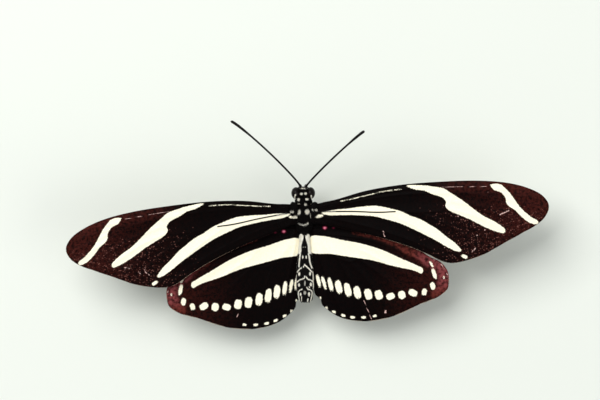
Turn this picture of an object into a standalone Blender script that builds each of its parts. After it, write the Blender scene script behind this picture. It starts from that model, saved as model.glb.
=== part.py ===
"""Zebra longwing butterfly, life size, standing on its feet with all four wings spread flat.

Lengths are in millimetres until to_metres() turns them into Blender's metres.
+X is the butterfly's right, +Y the way it faces and +Z up. The floor is z = 0.
"""

import math

import bmesh
import bpy
from mathutils import Vector
from mathutils.geometry import delaunay_2d_cdt

# Driving dimensions
GAP = 0.3                   # between two nodes that touch
WING_THICKNESS = 0.5
VEIN_HEIGHT = 0.2           # how far a vein stands out of each face of the membrane
VEIN_HALF_WIDTH = 0.34
WING_STACK = 1.3            # the forewing's mid plane lies this far over the hindwing's
FEELER_THICKNESS = 0.5
BODY_X, BODY_Y = -0.646, 3.018  # the body's reference point, from the middle of the whole box
BODY_LEAN = -0.015          # sideways drift of the body's axis for each millimetre forward
THORAX_Z = 8.2              # height of the thorax's axis over the floor
ABDOMEN_DIP = 0.055         # the abdomen's axis falls this much for each millimetre back

# Stations along the body, in mm forward of the reference point between the forewing roots
HEAD_FRONT, HEAD_BACK = 3.95, 2.1
COLLAR_BACK = 0.95
THORAX_BACK = -4.25
ABDOMEN_BACK = -15.6
CLASPER_LENGTH = 1.05

# Half widths and half heights at the stations
HEAD_HALF = (1.1, 1.45)
COLLAR_HALF = (1.5, 1.6)
THORAX_HALF = (1.75, 2.15)
WAIST_HALF = (0.98, 1.15)
ABDOMEN_HALF = (1.6, 1.5)
SEGMENTS = 8
SEGMENT_STEP = 0.07         # each ring of the abdomen overhangs the next by this much

# Eyes
EYE_HALF = (0.78, 1.02, 1.25)
EYE_OUT = 1.32
EYE_FORWARD = 2.98

# Heights of the wing sheets. u is the distance out from the body's axis.
FORE_ROOT_Z = 9.55
DROOP = 0.0013              # the sheet's rise flattens off by this times u squared
CAMBER = 0.0042             # and it falls off before and behind CAMBER_LINE by this
CAMBER_LINE = -2.0
# From above, a wing's outline is narrowed and skewed a little by the wing's tilt, turned about
# the reference point and shifted. The left wings are swept further back than the right ones.
SIDES = {
    "right": {"sign": 1, "rise_deg": 6.0, "lead_deg": 2.0,
              "fore": {"chord": 1.0, "skew": 0.0, "turn_deg": 0.0, "shift": (0.0, 0.0)},
              "hind": {"chord": 1.0, "skew": 0.0, "turn_deg": 0.0, "shift": (0.0, 0.0)}},
    "left": {"sign": -1, "rise_deg": 7.5, "lead_deg": 3.0,
             "fore": {"chord": 0.977, "skew": -0.07, "turn_deg": -10.7, "shift": (-0.56, 0.34)},
             "hind": {"chord": 1.0, "skew": 0.0, "turn_deg": -6.7, "shift": (0.31, -0.24)}},
}

# Forewing, seen from above: out from the axis, and forward. Leading edge first, root to tip.
FORE_OUTLINE = [
    (1.2, 0.5), (3.0, 1.15), (5.7, 1.75), (11.0, 3.3), (17.4, 4.4), (24.2, 4.95), (31.3, 5.15), (36.6, 4.75),
    (40.2, 3.85), (42.7, 2.6), (43.9, 1.15), (44.1, 0.1), (43.4, -1.5), (41.9, -2.9), (39.5, -4.3),
    (35.9, -6.3), (32.4, -8.25), (29.5, -9.3), (26.6, -9.85), (24.8, -9.5), (22.3, -8.3),
    (18.8, -6.85), (12.8, -5.0), (7.1, -3.7), (3.0, -2.3), (1.2, -1.4),
]
FORE_VEINS = {
    "subcosta": [(2.0, 0.25), (7.2, 1.4), (11.0, 2.4), (17.4, 3.5), (24.0, 4.05), (28.5, 4.2)],
    "radius": [(2.0, -0.05), (7.2, 0.95), (11.0, 1.7), (17.3, 2.55), (24.2, 2.8), (27.2, 2.85)],
    "radius_1": [(18.2, 2.65), (26.0, 3.45), (33.5, 4.15)],
    "radius_2": [(22.5, 2.8), (30.0, 3.4), (37.5, 3.6)],
    "radius_3": [(27.2, 2.85), (35.0, 2.75), (41.5, 1.9)],
    "radius_4": [(30.5, 2.7), (37.0, 1.6), (42.8, -0.1)],
    "radius_5": [(27.2, 2.85), (30.5, 2.7), (36.0, 0.9), (42.0, -1.9)],
    "cross": [(27.2, 2.85), (26.2, 1.4), (25.4, 0.1), (24.2, -0.4)],
    "media_1": [(26.2, 1.4), (31.5, 0.4), (40.5, -3.3)],
    "media_2": [(25.4, 0.1), (30.5, -1.2), (38.0, -4.9)],
    "cubitus": [(2.0, -0.5), (10.2, -0.5), (17.3, -0.5), (20.5, -0.55), (24.2, -0.4)],
    "media_3": [(24.2, -0.4), (28.6, -2.4), (35.0, -6.6)],
    "cubitus_1": [(20.5, -0.55), (25.6, -2.8), (33.0, -7.7)],
    "cubitus_2": [(14.8, -0.55), (17.3, -1.8), (22.2, -4.5), (28.6, -9.2)],
    "anal": [(2.0, -1.2), (7.5, -2.2), (14.0, -3.9), (21.0, -6.4), (26.3, -9.2)],
}
HIND_OUTLINE = [
    (1.0, -2.9), (2.6, -2.5), (6.5, -2.3), (12.8, -3.4), (18.7, -5.6), (22.4, -8.4), (24.5, -9.7),
    (25.8, -11.4), (26.1, -13.0), (25.8, -14.7), (24.5, -15.8), (22.4, -16.8), (20.6, -17.45),
    (18.8, -18.4), (16.7, -19.3), (14.6, -19.95), (11.7, -20.4), (8.9, -20.3), (6.4, -19.65),
    (4.3, -18.4), (3.15, -17.3), (2.9, -16.4), (1.9, -15.5), (1.4, -12.8), (0.6, -7.4), (0.6, -4.6),
]
HIND_VEINS = {
    "subcosta": [(2.4, -3.2), (6.5, -3.0), (12.8, -4.1), (19.4, -6.8), (23.8, -9.6)],
    "radius": [(2.4, -4.0), (8.6, -6.1), (10.2, -7.4)],
    "radial_sector": [(4.7, -4.6), (11.9, -5.6), (19.1, -8.4), (25.4, -11.6)],
    "media_1": [(8.6, -6.1), (14.6, -7.9), (20.9, -11.0), (25.9, -14.0)],
    "media_2": [(10.2, -7.4), (15.5, -10.1), (20.0, -12.8), (24.1, -15.9)],
    "media_3": [(9.7, -8.9), (13.7, -11.7), (17.3, -14.9), (20.2, -17.5)],
    "cross": [(10.2, -7.4), (9.7, -8.9), (8.3, -9.5)],
    "cubitus": [(2.4, -5.2), (6.1, -8.8), (8.3, -9.5)],
    "cubitus_1": [(8.3, -9.5), (11.3, -12.8), (14.0, -16.4), (15.8, -19.4)],
    "cubitus_2": [(6.1, -8.8), (8.3, -13.1), (10.1, -16.9), (11.2, -20.2)],
    "anal": [(2.2, -6.0), (3.9, -11.9), (5.6, -15.8), (6.5, -19.4)],
}
OUTLINE_STEP = 1.2          # spacing of the points that the wing meshes are built from
VEIN_STEP = 1.6
FILL_STEP = 2.3
JOIN = 0.75                 # vein points nearer than this are one point
CLEAR_OF_EDGE = 0.6         # veins and fill points stop this far inside the outline

# Legs: a hip below the body, then (distance out, height) of knee, ankle, heel and toe
LEG_THICKNESS = 0.5
LEG_SIDES = 8
WALKING_LEGS = {
    "mid": {"hip": (0.75, -0.9), "heading_deg": -8.0,
            "bends": [(3.4, 6.9), (6.0, 0.75), (6.6, None), (8.6, None)]},
    "hind": {"hip": (0.7, -3.3), "heading_deg": -58.0,
             "bends": [(3.9, 6.7), (7.3, 0.75), (8.0, None), (10.4, None)]},
}
FORE_LEG = [(0.7, 0.2, 6.0), (0.7, 1.5, 5.3), (0.7, 0.1, 4.7), (0.7, -1.1, 5.0)]

# Feelers: where each tip is from its base, so that both are FEELER_LENGTH long
FEELER_LENGTH = 18.6
FEELER_BASE = (0.55, 3.95)
FEELERS = {"right": (10.1, 9.6), "left": (12.7, 11.75)}
FEELER_BOW = {"right": 0.45, "left": 0.85}  # how far the middle bows forward and inward
FEELER_CLUB = 0.42          # the share of the thickness that the club adds

# Mouth parts
PALP_OUT, PALP_HALF = 0.5, 0.3
TONGUE_HALF = 0.22
COIL_TURNS, COIL_STEPS = 1.6, 36
COIL_INNER, COIL_OUTER = 0.34, 1.2

COLOURS = {
    "black scales": ((0.012, 0.009, 0.009, 1), 0.6),
    "eye": ((0.02, 0.012, 0.01, 1), 0.15),
    "cream scales": ((0.80, 0.78, 0.62, 1), 0.6),
    "horn": ((0.02, 0.014, 0.012, 1), 0.4),
}


def clear_scene():
    for obj in list(bpy.data.objects):
        bpy.data.objects.remove(obj, do_unlink=True)


def material(name):
    found = bpy.data.materials.get(name)
    if found:
        return found
    colour, roughness = COLOURS[name]
    made = bpy.data.materials.new(name)
    made.use_nodes = True
    shader = made.node_tree.nodes["Principled BSDF"]
    shader.inputs["Base Color"].default_value = colour
    shader.inputs["Roughness"].default_value = roughness
    shader.inputs["Metallic"].default_value = 0.0
    return made


def to_metres(x, y, z):
    """A point of the butterfly's own frame, in mm, as a point of the part."""
    return Vector((x + BODY_X, y + BODY_Y, z)) * 0.001


def new_object(name, mesh, material_name, smooth_deg=40.0):
    mesh.materials.append(material(material_name))
    mesh.shade_smooth()
    mesh.set_sharp_from_angle(angle=math.radians(smooth_deg))
    obj = bpy.data.objects.new(name, mesh)
    bpy.context.scene.collection.objects.link(obj)
    return obj


def mesh_from_bmesh(name, bm):
    if bm.calc_volume(signed=True) < 0:
        bmesh.ops.reverse_faces(bm, faces=bm.faces)
    mesh = bpy.data.meshes.new(name)
    bm.to_mesh(mesh)
    bm.free()
    return mesh


def loft(name, rings, material_name):
    """One closed body through rings of points, capped at both ends."""
    bm = bmesh.new()
    loops = [[bm.verts.new(to_metres(*p)) for p in ring] for ring in rings]
    count = len(loops[0])
    for lower, upper in zip(loops, loops[1:]):
        for i in range(count):
            j = (i + 1) % count
            bm.faces.new((lower[i], lower[j], upper[j], upper[i]))
    bm.faces.new(list(reversed(loops[0])))
    bm.faces.new(loops[-1])
    bmesh.ops.triangulate(bm, faces=[f for f in bm.faces if len(f.verts) > 4])
    return new_object(name, mesh_from_bmesh(name, bm), material_name)


def axis_x(y):
    """Sideways place of the body's axis."""
    return BODY_LEAN * y


def axis_z(y):
    """Height of the body's axis, level through head and thorax, falling along the abdomen."""
    return THORAX_Z - ABDOMEN_DIP * max(0.0, THORAX_BACK - y)


def body_ring(y, half, count=20, power=2.3, lift=0.0):
    """A rounded oval across the body."""
    ring = []
    for i in range(count):
        a = 2 * math.pi * i / count
        c, s = math.cos(a), math.sin(a)
        x = half[0] * math.copysign(abs(c) ** (2 / power), c)
        z = half[1] * math.copysign(abs(s) ** (2 / power), s)
        ring.append((axis_x(y) + x, y, axis_z(y) + lift + z))
    return ring


def between(a, b, t):
    return tuple(p + (q - p) * t for p, q in zip(a, b))


def dome_factors(count):
    """Shares of (length, width) that round off an end."""
    steps = [math.pi / 2 * i / count for i in range(1, count + 1)]
    return [(1 - math.cos(a), math.sin(a)) for a in steps]


def thorax_half(y):
    """Half width and half height of the thorax."""
    span = COLLAR_BACK - THORAX_BACK
    t = (COLLAR_BACK - GAP - y) / (span - GAP)
    t = min(1.0, max(0.0, t))
    swell = math.sin(math.pi * min(1.0, t * 0.82 + 0.22)) ** 0.55
    low = between(COLLAR_HALF, WAIST_HALF, t)
    return tuple(p + (q - p) * swell for p, q in zip(low, THORAX_HALF))


def abdomen_half(y):
    """Half width and half height of the abdomen: a slim waist, widest near the end."""
    t = (THORAX_BACK - GAP - y) / (THORAX_BACK - GAP - ABDOMEN_BACK)
    t = min(1.0, max(0.0, t))
    swell = math.sin(math.pi / 2 * min(1.0, t / 0.72)) ** 1.6
    half = between(WAIST_HALF, ABDOMEN_HALF, swell)
    taper = 1.0 - 0.32 * max(0.0, (t - 0.8) / 0.2) ** 2
    return half[0] * taper, half[1] * taper


def body_reach(y, z):
    """How far out from the axis the body reaches beside a wing at height z."""
    if y < THORAX_BACK:
        return abdomen_half(y)[0] + SEGMENT_STEP
    half = thorax_half(y)
    t = min(1.0, max(0.0, abs(z - axis_z(y)) - WING_THICKNESS / 2) / half[1])
    return half[0] * (1 - t**2.3) ** (1 / 2.3)


def make_head():
    core = []
    for length, width in dome_factors(4):
        y = HEAD_FRONT - 0.75 * length
        core.append(body_ring(y, (HEAD_HALF[0] * width, HEAD_HALF[1] * width), 24, 2.2))
    core.insert(0, body_ring(HEAD_FRONT, (0.3, 0.3), 24, 2.0))
    core.append(body_ring(HEAD_FRONT - 1.3, HEAD_HALF, 24, 2.2))
    core.append(body_ring(HEAD_BACK + 0.25, (HEAD_HALF[0], HEAD_HALF[1] * 0.94), 24, 2.2))
    core.append(body_ring(HEAD_BACK, (HEAD_HALF[0] * 0.9, HEAD_HALF[1] * 0.85), 24, 2.2))
    head = loft("head", core, "black scales")
    for side in SIDES:
        cutter = eye_ball("socket_" + side, side, GAP)
        cutter.hide_render = True
        cutter.display_type = "WIRE"
        cut = head.modifiers.new("socket " + side, "BOOLEAN")
        cut.operation = "DIFFERENCE"
        cut.solver = "EXACT"
        cut.object = cutter
        eye_ball("eye_" + side, side, 0.0)


def eye_ball(name, side, grown):
    """A compound eye: a tall oval ball, or its socket when grown."""
    bm = bmesh.new()
    bmesh.ops.create_uvsphere(bm, u_segments=16, v_segments=10, radius=1.0)
    sign = SIDES[side]["sign"]
    for v in bm.verts:
        x, y, z = (v.co[i] * (EYE_HALF[i] + grown) for i in range(3))
        v.co = to_metres(
            x + axis_x(EYE_FORWARD) + sign * EYE_OUT, y + EYE_FORWARD, z + THORAX_Z + 0.1
        )
    return new_object(name, mesh_from_bmesh(name, bm), "eye")


def make_collar():
    rings = []
    for t, share in ((0.0, 0.82), (0.3, 0.98), (0.7, 1.0), (1.0, 0.92)):
        y = HEAD_BACK - GAP - t * (HEAD_BACK - GAP - COLLAR_BACK)
        rings.append(body_ring(y, tuple(h * share for h in COLLAR_HALF)))
    loft("collar", rings, "black scales")


def make_thorax():
    front, back = COLLAR_BACK - GAP, THORAX_BACK
    rings = []
    for i in range(11):
        y = front + (back - front) * i / 10
        rings.append(body_ring(y, thorax_half(y)))
    loft("thorax", rings, "black scales")


def make_abdomen():
    front = THORAX_BACK - GAP
    length = front - ABDOMEN_BACK
    rings = []
    for segment in range(SEGMENTS):
        for share, step in ((0.0, -SEGMENT_STEP), (0.35, 0.0), (0.92, SEGMENT_STEP)):
            y = front - length * (segment + share) / SEGMENTS
            half = abdomen_half(y)
            rings.append(body_ring(y, (half[0] + step, half[1] + step), 16, 2.1))
    half = abdomen_half(ABDOMEN_BACK)
    rings.append(body_ring(ABDOMEN_BACK, (half[0] * 0.86, half[1] * 0.86), 16, 2.1))
    loft("abdomen", rings, "black scales")


def make_claspers():
    """The pair of flat valves that end a male's abdomen."""
    half = abdomen_half(ABDOMEN_BACK)
    for side, pose in SIDES.items():
        rings = []
        for length, width in ((0.0, 0.8), (0.45, 1.0), (0.85, 0.75), (1.0, 0.4)):
            y = ABDOMEN_BACK - GAP - CLASPER_LENGTH * length
            ring = []
            for i in range(10):
                a = 2 * math.pi * i / 10
                x = pose["sign"] * 0.58 + 0.38 * width * math.cos(a)
                z = half[1] * 0.6 * width * math.sin(a)
                ring.append((axis_x(y) + x, y, axis_z(y) + z))
            rings.append(ring)
        loft("clasper_" + side, rings, "cream scales")


def catmull_rom(points, closed, per_span=10):
    """A smooth curve through a few points, with knots spaced by the root of the chords."""
    count = len(points)
    curve = []
    for i in range(count if closed else count - 1):
        if closed:
            p = [Vector(points[(i + k) % count]) for k in (-1, 0, 1, 2)]
        else:
            p = [Vector(points[min(max(i + k, 0), count - 1)]) for k in (-1, 0, 1, 2)]
        d = [max(1e-4, (b - a).length ** 0.5) for a, b in zip(p, p[1:])]
        m1 = d[1] * ((p[1] - p[0]) / d[0] - (p[2] - p[0]) / (d[0] + d[1]) + (p[2] - p[1]) / d[1])
        m2 = d[1] * ((p[2] - p[1]) / d[1] - (p[3] - p[1]) / (d[1] + d[2]) + (p[3] - p[2]) / d[2])
        for j in range(per_span):
            s = j / per_span
            curve.append(
                (2 * s**3 - 3 * s**2 + 1) * p[1] + (s**3 - 2 * s**2 + s) * m1
                + (3 * s**2 - 2 * s**3) * p[2] + (s**3 - s**2) * m2
            )
    if not closed:
        curve.append(Vector(points[-1]))
    return curve


def respaced(curve, step, closed):
    """The same curve with points about step apart."""
    line = curve + [curve[0]] if closed else curve
    lengths = [0.0]
    for a, b in zip(line, line[1:]):
        lengths.append(lengths[-1] + (b - a).length)
    count = max(2, round(lengths[-1] / step))
    spaced, k = [], 0
    for i in range(count if closed else count + 1):
        target = lengths[-1] * i / count
        while k < len(lengths) - 2 and lengths[k + 1] < target:
            k += 1
        span = max(1e-9, lengths[k + 1] - lengths[k])
        spaced.append(line[k].lerp(line[k + 1], (target - lengths[k]) / span))
    return spaced


def distance_to_line(p, line):
    """Shortest distance from a point to a polyline."""
    best = 1e9
    for a, b in zip(line, line[1:]):
        ab = b - a
        t = min(1.0, max(0.0, (p - a).dot(ab) / max(1e-9, ab.length_squared)))
        best = min(best, (p - a - ab * t).length)
    return best


def inside(p, loop):
    """Whether a point lies inside a closed outline."""
    crossings = False
    for a, b in zip(loop, loop[1:] + loop[:1]):
        if (a.y > p.y) != (b.y > p.y):
            if p.x < a.x + (p.y - a.y) * (b.x - a.x) / (b.y - a.y):
                crossings = not crossings
    return crossings


class Wing:
    """One wing of one side, in (out, forward) coordinates of that side."""

    def __init__(self, pair, side):
        self.pair, self.side, self.pose = pair, side, SIDES[side]
        source = {"fore": (FORE_OUTLINE, FORE_VEINS), "hind": (HIND_OUTLINE, HIND_VEINS)}[pair]
        outline = respaced(catmull_rom(source[0], True), OUTLINE_STEP, True)
        self.outline = self.clear_of_body([self.placed(p) for p in outline])
        rim = self.outline + self.outline[:1]
        self.veins = []
        for route in source[1].values():
            line = [self.placed(p) for p in catmull_rom(route, False)]
            clear = [p for p in line if self.holds(p, rim, CLEAR_OF_EDGE)]
            self.veins.append(respaced(clear, VEIN_STEP, False))

    def placed(self, p):
        """A point of the wing's outline as this side holds it, seen from above."""
        pose = self.pose[self.pair]
        x, y = p.x + pose["skew"] * p.y, pose["chord"] * p.y
        turn = math.radians(pose["turn_deg"])
        c, s = math.cos(turn), math.sin(turn)
        return Vector((c * x - s * y, s * x + c * y)) + Vector(pose["shift"])

    def clear_of_body(self, outline):
        """Points too near the body are moved out beside it, and crowded ones dropped."""
        kept = []
        for p in outline:
            axis = self.pose["sign"] * axis_x(p.y)
            reach = axis + body_reach(p.y, self.height(p)) + GAP
            moved = Vector((max(p.x, reach), p.y))
            if not kept or (moved - kept[-1]).length > 0.5 * OUTLINE_STEP:
                kept.append(moved)
        while (kept[0] - kept[-1]).length < 0.5 * OUTLINE_STEP:
            kept.pop()
        return kept

    def height(self, p):
        """Height of the wing's mid plane."""
        rise = math.tan(math.radians(self.pose["rise_deg"]))
        lead = math.tan(math.radians(self.pose["lead_deg"]))
        z = FORE_ROOT_Z + rise * p.x + lead * p.y
        z -= DROOP * p.x**2 + CAMBER * (p.y - CAMBER_LINE) ** 2
        return z - WING_STACK if self.pair == "hind" else z

    def ridge(self, p):
        """How far the nearest vein raises the membrane."""
        near = min(distance_to_line(p, vein) for vein in self.veins)
        return VEIN_HEIGHT * max(0.0, 1 - near / VEIN_HALF_WIDTH)

    def net(self):
        """The points to build the membrane from, and the pairs of them that edges must join."""
        points, edges = list(self.outline), []
        rim = self.outline + self.outline[:1]
        crests = []
        for vein in self.veins:
            crest = []
            for p in vein:
                near = [i for i, q in enumerate(points) if (p - q).length < JOIN]
                index = near[0] if near else len(points)
                if not near:
                    points.append(p)
                if index not in crest:
                    crest.append(index)
            crests.append(crest)
            edges += zip(crest, crest[1:])
        for crest in crests:
            for side in (1, -1):
                last = None
                for i, j in zip(crest, crest[1:]):
                    along = (points[j] - points[i]).normalized()
                    across = Vector((-along.y, along.x)) * side * VEIN_HALF_WIDTH
                    foot = (points[i] + points[j]) / 2 + across
                    near = min(distance_to_line(foot, vein) for vein in self.veins)
                    crowded = any((foot - q).length < 0.8 * VEIN_HALF_WIDTH for q in points)
                    if near < 0.85 * VEIN_HALF_WIDTH or crowded or not self.holds(foot, rim, 0.4):
                        last = None
                        continue
                    points.append(foot)
                    if last is not None:
                        edges.append((last, len(points) - 1))
                    last = len(points) - 1
        points += self.fill(points, rim)
        return points, edges

    def fill(self, taken, rim):
        """An even spread of points where the membrane has none yet."""
        found = []
        low = Vector((min(p.x for p in rim), min(p.y for p in rim)))
        high = Vector((max(p.x for p in rim), max(p.y for p in rim)))
        row_step = FILL_STEP * math.sqrt(3) / 2
        for row in range(int((high.y - low.y) / row_step) + 1):
            for column in range(int((high.x - low.x) / FILL_STEP) + 2):
                offset = Vector((FILL_STEP * (column + 0.5 * (row % 2)), row_step * row))
                p = low + offset
                crowded = any((p - q).length < 0.5 * FILL_STEP for q in taken)
                if not crowded and self.holds(p, rim, 0.8):
                    found.append(p)
        return found

    def holds(self, p, rim, margin):
        """Whether a point lies inside the outline by a margin."""
        return inside(p, self.outline) and distance_to_line(p, rim) > margin

    def build(self):
        points, edges = self.net()
        rim = list(range(len(self.outline)))
        made = delaunay_2d_cdt(points, edges, [rim], 1, 1e-5)
        flat, faces = made[0], made[2]
        bm = bmesh.new()
        sign = self.pose["sign"]
        sheets = []
        for face_sign in (1, -1):
            sheet = []
            for p in flat:
                p = Vector((p[0], p[1]))
                z = self.height(p) + face_sign * (WING_THICKNESS / 2 + self.ridge(p))
                sheet.append(bm.verts.new(to_metres(sign * p.x, p.y, z)))
            sheets.append(sheet)
        top, bottom = sheets
        rims = {}
        for face in faces:
            bm.faces.new([top[i] for i in face])
            bm.faces.new([bottom[i] for i in reversed(face)])
            for i, j in zip(face, face[1:] + face[:1]):
                rims[(i, j)] = rims.get((i, j), 0) + 1
        for i, j in list(rims):
            if (j, i) not in rims:
                bm.faces.new((top[j], top[i], bottom[i], bottom[j]))
        bmesh.ops.triangulate(bm, faces=[f for f in bm.faces if len(f.verts) > 3])
        name = self.pair + "wing_" + self.side
        new_object(name, mesh_from_bmesh(name, bm), "black scales", 24.0)


def make_tegulae():
    """The small scaly cap over each forewing's root."""
    for side, pose in SIDES.items():
        wing = Wing("fore", side)
        bm = bmesh.new()
        bmesh.ops.create_icosphere(bm, subdivisions=2, radius=1.0)
        sign = pose["sign"]
        for v in bm.verts:
            y = 0.05 + 1.05 * v.co.y
            u = 1.95 + 0.75 * v.co.x
            top = wing.height(Vector((u, y))) + WING_THICKNESS / 2 + VEIN_HEIGHT + GAP
            v.co = to_metres(sign * u, y, top + 0.3 + 0.3 * v.co.z)
        new_object("tegula_" + side, mesh_from_bmesh("tegula_" + side, bm), "black scales")


def tube(name, path, radii, material_name, normal, sides=LEG_SIDES):
    """A faceted tube along a path that lies in one plane, with a flat facet underneath."""
    rings = []
    normal = Vector(normal).normalized()
    for i, (p, r) in enumerate(zip(path, radii)):
        ahead = path[min(i + 1, len(path) - 1)] - p
        behind = p - path[max(i - 1, 0)]
        tangent = (ahead.normalized() + behind.normalized()).normalized()
        up = normal.cross(tangent).normalized()
        stretch = 1.0
        if 0 < i < len(path) - 1:
            stretch = 1 / max(0.6, tangent.dot(ahead.normalized()))
        ring = []
        for k in range(sides):
            a = 2 * math.pi * (k + 0.5) / sides
            q = p + normal * (r * math.cos(a)) + up * (r * stretch * math.sin(a))
            ring.append(tuple(q))
        rings.append(ring)
    return loft(name, rings, material_name)


def make_legs():
    radius = LEG_THICKNESS / 2
    flat = radius * math.cos(math.pi / LEG_SIDES)  # the foot's facet then lies on the floor
    for name, leg in WALKING_LEGS.items():
        for side, pose in SIDES.items():
            heading = math.radians(leg["heading_deg"])
            out = Vector((pose["sign"] * math.cos(heading), math.sin(heading), 0))
            x, y = leg["hip"]
            half = thorax_half(y)
            under = half[1] * (1 - (x / half[0]) ** 2.3) ** (1 / 2.3)
            hip = Vector((pose["sign"] * x, y, THORAX_Z - under - GAP - 0.12))
            path, radii = [hip], [radius * 1.35]
            for bend in leg["bends"]:
                distance, z = bend[0], flat if bend[1] is None else bend[1]
                path.append(hip + out * distance + Vector((0, 0, z - hip.z)))
                radii.append(radius * (1.1 if len(path) == 2 else 1.0))
            thigh = path[0].lerp(path[1], 0.3)
            path.insert(1, thigh)
            radii.insert(1, radius * 1.3)
            normal = Vector((0, 0, 1)).cross(out)
            tube(f"{name}_leg_{side}", path, radii, "horn", normal)
    for side, pose in SIDES.items():
        path = [Vector((pose["sign"] * x, y, z)) for x, y, z in FORE_LEG]
        tube("fore_leg_" + side, path, [radius * 1.1, radius, radius, radius * 0.8], "horn",
             (1, 0, 0), 6)


def make_feelers():
    for side, (across, ahead) in FEELERS.items():
        sign = SIDES[side]["sign"]
        flat = math.hypot(across, ahead)
        rise = math.sqrt(FEELER_LENGTH**2 - flat**2)
        base = Vector((sign * FEELER_BASE[0] + axis_x(FEELER_BASE[1]), FEELER_BASE[1],
                       THORAX_Z + HEAD_HALF[1] * 0.8 + GAP + 0.1))
        tip = base + Vector((sign * across, ahead, rise))
        out = (tip - base).normalized()
        bow = Vector((0, 0, sign)).cross(out).normalized() * FEELER_BOW[side]
        normal = out.cross(bow).normalized()
        path, radii = [], []
        count = 16
        for i in range(count + 1):
            t = i / count
            path.append(base.lerp(tip, t) + bow * math.sin(math.pi * t))
            club = max(0.0, (t - 0.72) / 0.28)
            shape = 1 + FEELER_CLUB * math.sin(math.pi * min(1.0, club * 0.62))
            if t == 0:
                shape = 1.3
            if i == count:
                shape = 0.7
            radii.append(FEELER_THICKNESS / 2 * shape)
        tube("antenna_" + side, path, radii, "horn", normal, 8)


def make_mouth():
    """Two palps that curve up before the face, and the coiled tongue between them."""
    chin = THORAX_Z - HEAD_HALF[1]
    for side, pose in SIDES.items():
        bends = [(HEAD_FRONT - 1.15, chin - 0.45), (HEAD_FRONT - 0.45, chin - 0.4),
                 (HEAD_FRONT + 0.2, chin + 0.15), (HEAD_FRONT + 0.42, chin + 0.95),
                 (HEAD_FRONT + 0.6, chin + 1.75)]
        x = pose["sign"] * PALP_OUT + axis_x(HEAD_FRONT)
        path = [Vector((x, p.x, p.y)) for p in catmull_rom(bends, False, 3)]
        count = len(path) - 1
        radii = [PALP_HALF * (0.75 + 0.9 * (i / count) - 1.2 * (i / count) ** 2.5)
                 for i in range(count + 1)]
        tube("palp_" + side, path, radii, "black scales", (1, 0, 0), 8)
    centre = Vector((axis_x(3.0), HEAD_FRONT - 1.15, chin - 0.35 - COIL_OUTER))
    path, radii = [], []
    for i in range(COIL_STEPS + 1):
        t = i / COIL_STEPS
        a = math.pi / 2 - 2 * math.pi * COIL_TURNS * t
        r = COIL_OUTER + (COIL_INNER - COIL_OUTER) * t
        path.append(centre + Vector((0, r * math.cos(a), r * math.sin(a))))
        radii.append(TONGUE_HALF * (1 - 0.25 * t))
    tube("proboscis", path, radii, "horn", (1, 0, 0), 6)


def main():
    clear_scene()
    make_head()
    make_collar()
    make_thorax()
    make_abdomen()
    make_claspers()
    for pair in ("fore", "hind"):
        for side in SIDES:
            Wing(pair, side).build()
    make_tegulae()
    make_legs()
    make_feelers()
    make_mouth()


main()
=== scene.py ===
# %% [markdown]
# # Zebra longwing butterfly
# A museum-style model of a zebra longwing, life size, standing with all four wings spread. The
# solid frame holds its sizes. This notebook builds what the eye sees: scaled wings, a furred body,
# faceted eyes, ringed feelers and jointed legs, all inside that frame.
# Lengths are in millimetres in the butterfly's own frame until world() turns them into metres.

# %% load the frame
import math
from functools import partial

import bmesh
import bpy
import numpy as np
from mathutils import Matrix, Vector
from mathutils.geometry import delaunay_2d_cdt

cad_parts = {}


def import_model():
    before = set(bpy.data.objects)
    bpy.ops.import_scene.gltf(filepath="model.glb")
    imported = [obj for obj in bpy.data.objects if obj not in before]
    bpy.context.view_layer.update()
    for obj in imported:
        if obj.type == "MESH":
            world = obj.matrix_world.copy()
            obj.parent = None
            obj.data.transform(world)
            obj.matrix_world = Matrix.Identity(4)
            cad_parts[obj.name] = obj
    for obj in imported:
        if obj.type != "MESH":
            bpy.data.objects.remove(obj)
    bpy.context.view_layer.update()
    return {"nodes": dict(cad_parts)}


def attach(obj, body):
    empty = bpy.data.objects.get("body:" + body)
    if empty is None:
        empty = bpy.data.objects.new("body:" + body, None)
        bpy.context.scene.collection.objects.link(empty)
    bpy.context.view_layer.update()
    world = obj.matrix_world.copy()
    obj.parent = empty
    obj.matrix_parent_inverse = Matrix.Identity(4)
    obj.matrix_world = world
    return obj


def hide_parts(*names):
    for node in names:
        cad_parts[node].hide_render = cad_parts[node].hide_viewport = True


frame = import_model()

print("frame nodes:", len(frame["nodes"]))

# %% [markdown]
# ## Where things are
# The butterfly's own frame has its origin between the forewing roots, +X to its right and +Y the
# way it faces. The body leans very slightly, as the photographed insect does, and its abdomen
# sinks a little towards the tip. These few numbers and the wing poses are the ones that the solid
# frame was built with, so that both agree. Every random draw below comes from one seeded source.

# %% shared measures
BODY_X, BODY_Y = -0.646, 3.018   # the butterfly's own origin, in the row frame
BODY_LEAN, HEAD_SHIFT = -0.015, -0.1   # sideways, for each mm forward and for the head
THORAX_Z = 8.2
ABDOMEN_DIP = 0.055
THORAX_BACK = -4.25
ABDOMEN_FRONT, ABDOMEN_BACK = -4.55, -15.6
SEGMENTS = 8
FORE_ROOT_Z, WING_STACK = 9.55, 1.3
DROOP, CAMBER, CAMBER_LINE = 0.0013, 0.0042, -2.0
SIDES = {"right": 1, "left": -1}
TILT = {"right": (6.0, 2.0), "left": (7.5, 3.0)}   # rise outwards and forwards, in degrees
POSES = {   # chord, skew, turn in degrees, shift
    ("fore", "right"): (1.0, 0.0, 0.0, (0.0, 0.0)),
    ("hind", "right"): (1.0, 0.0, 0.0, (0.0, 0.0)),
    ("fore", "left"): (0.977, -0.07, -10.7, (-0.56, 0.34)),
    ("hind", "left"): (1.0, 0.0, -6.7, (0.31, -0.24)),
}
HINGE_OUT, HINGE_BACK = 2.6, -4.4   # the roots of the wings lie nearer and further forward
ROOT_PULL, TUCK = 0.35, 0.06   # how much a root is drawn in, and a hindwing pushed under the skin
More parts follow.
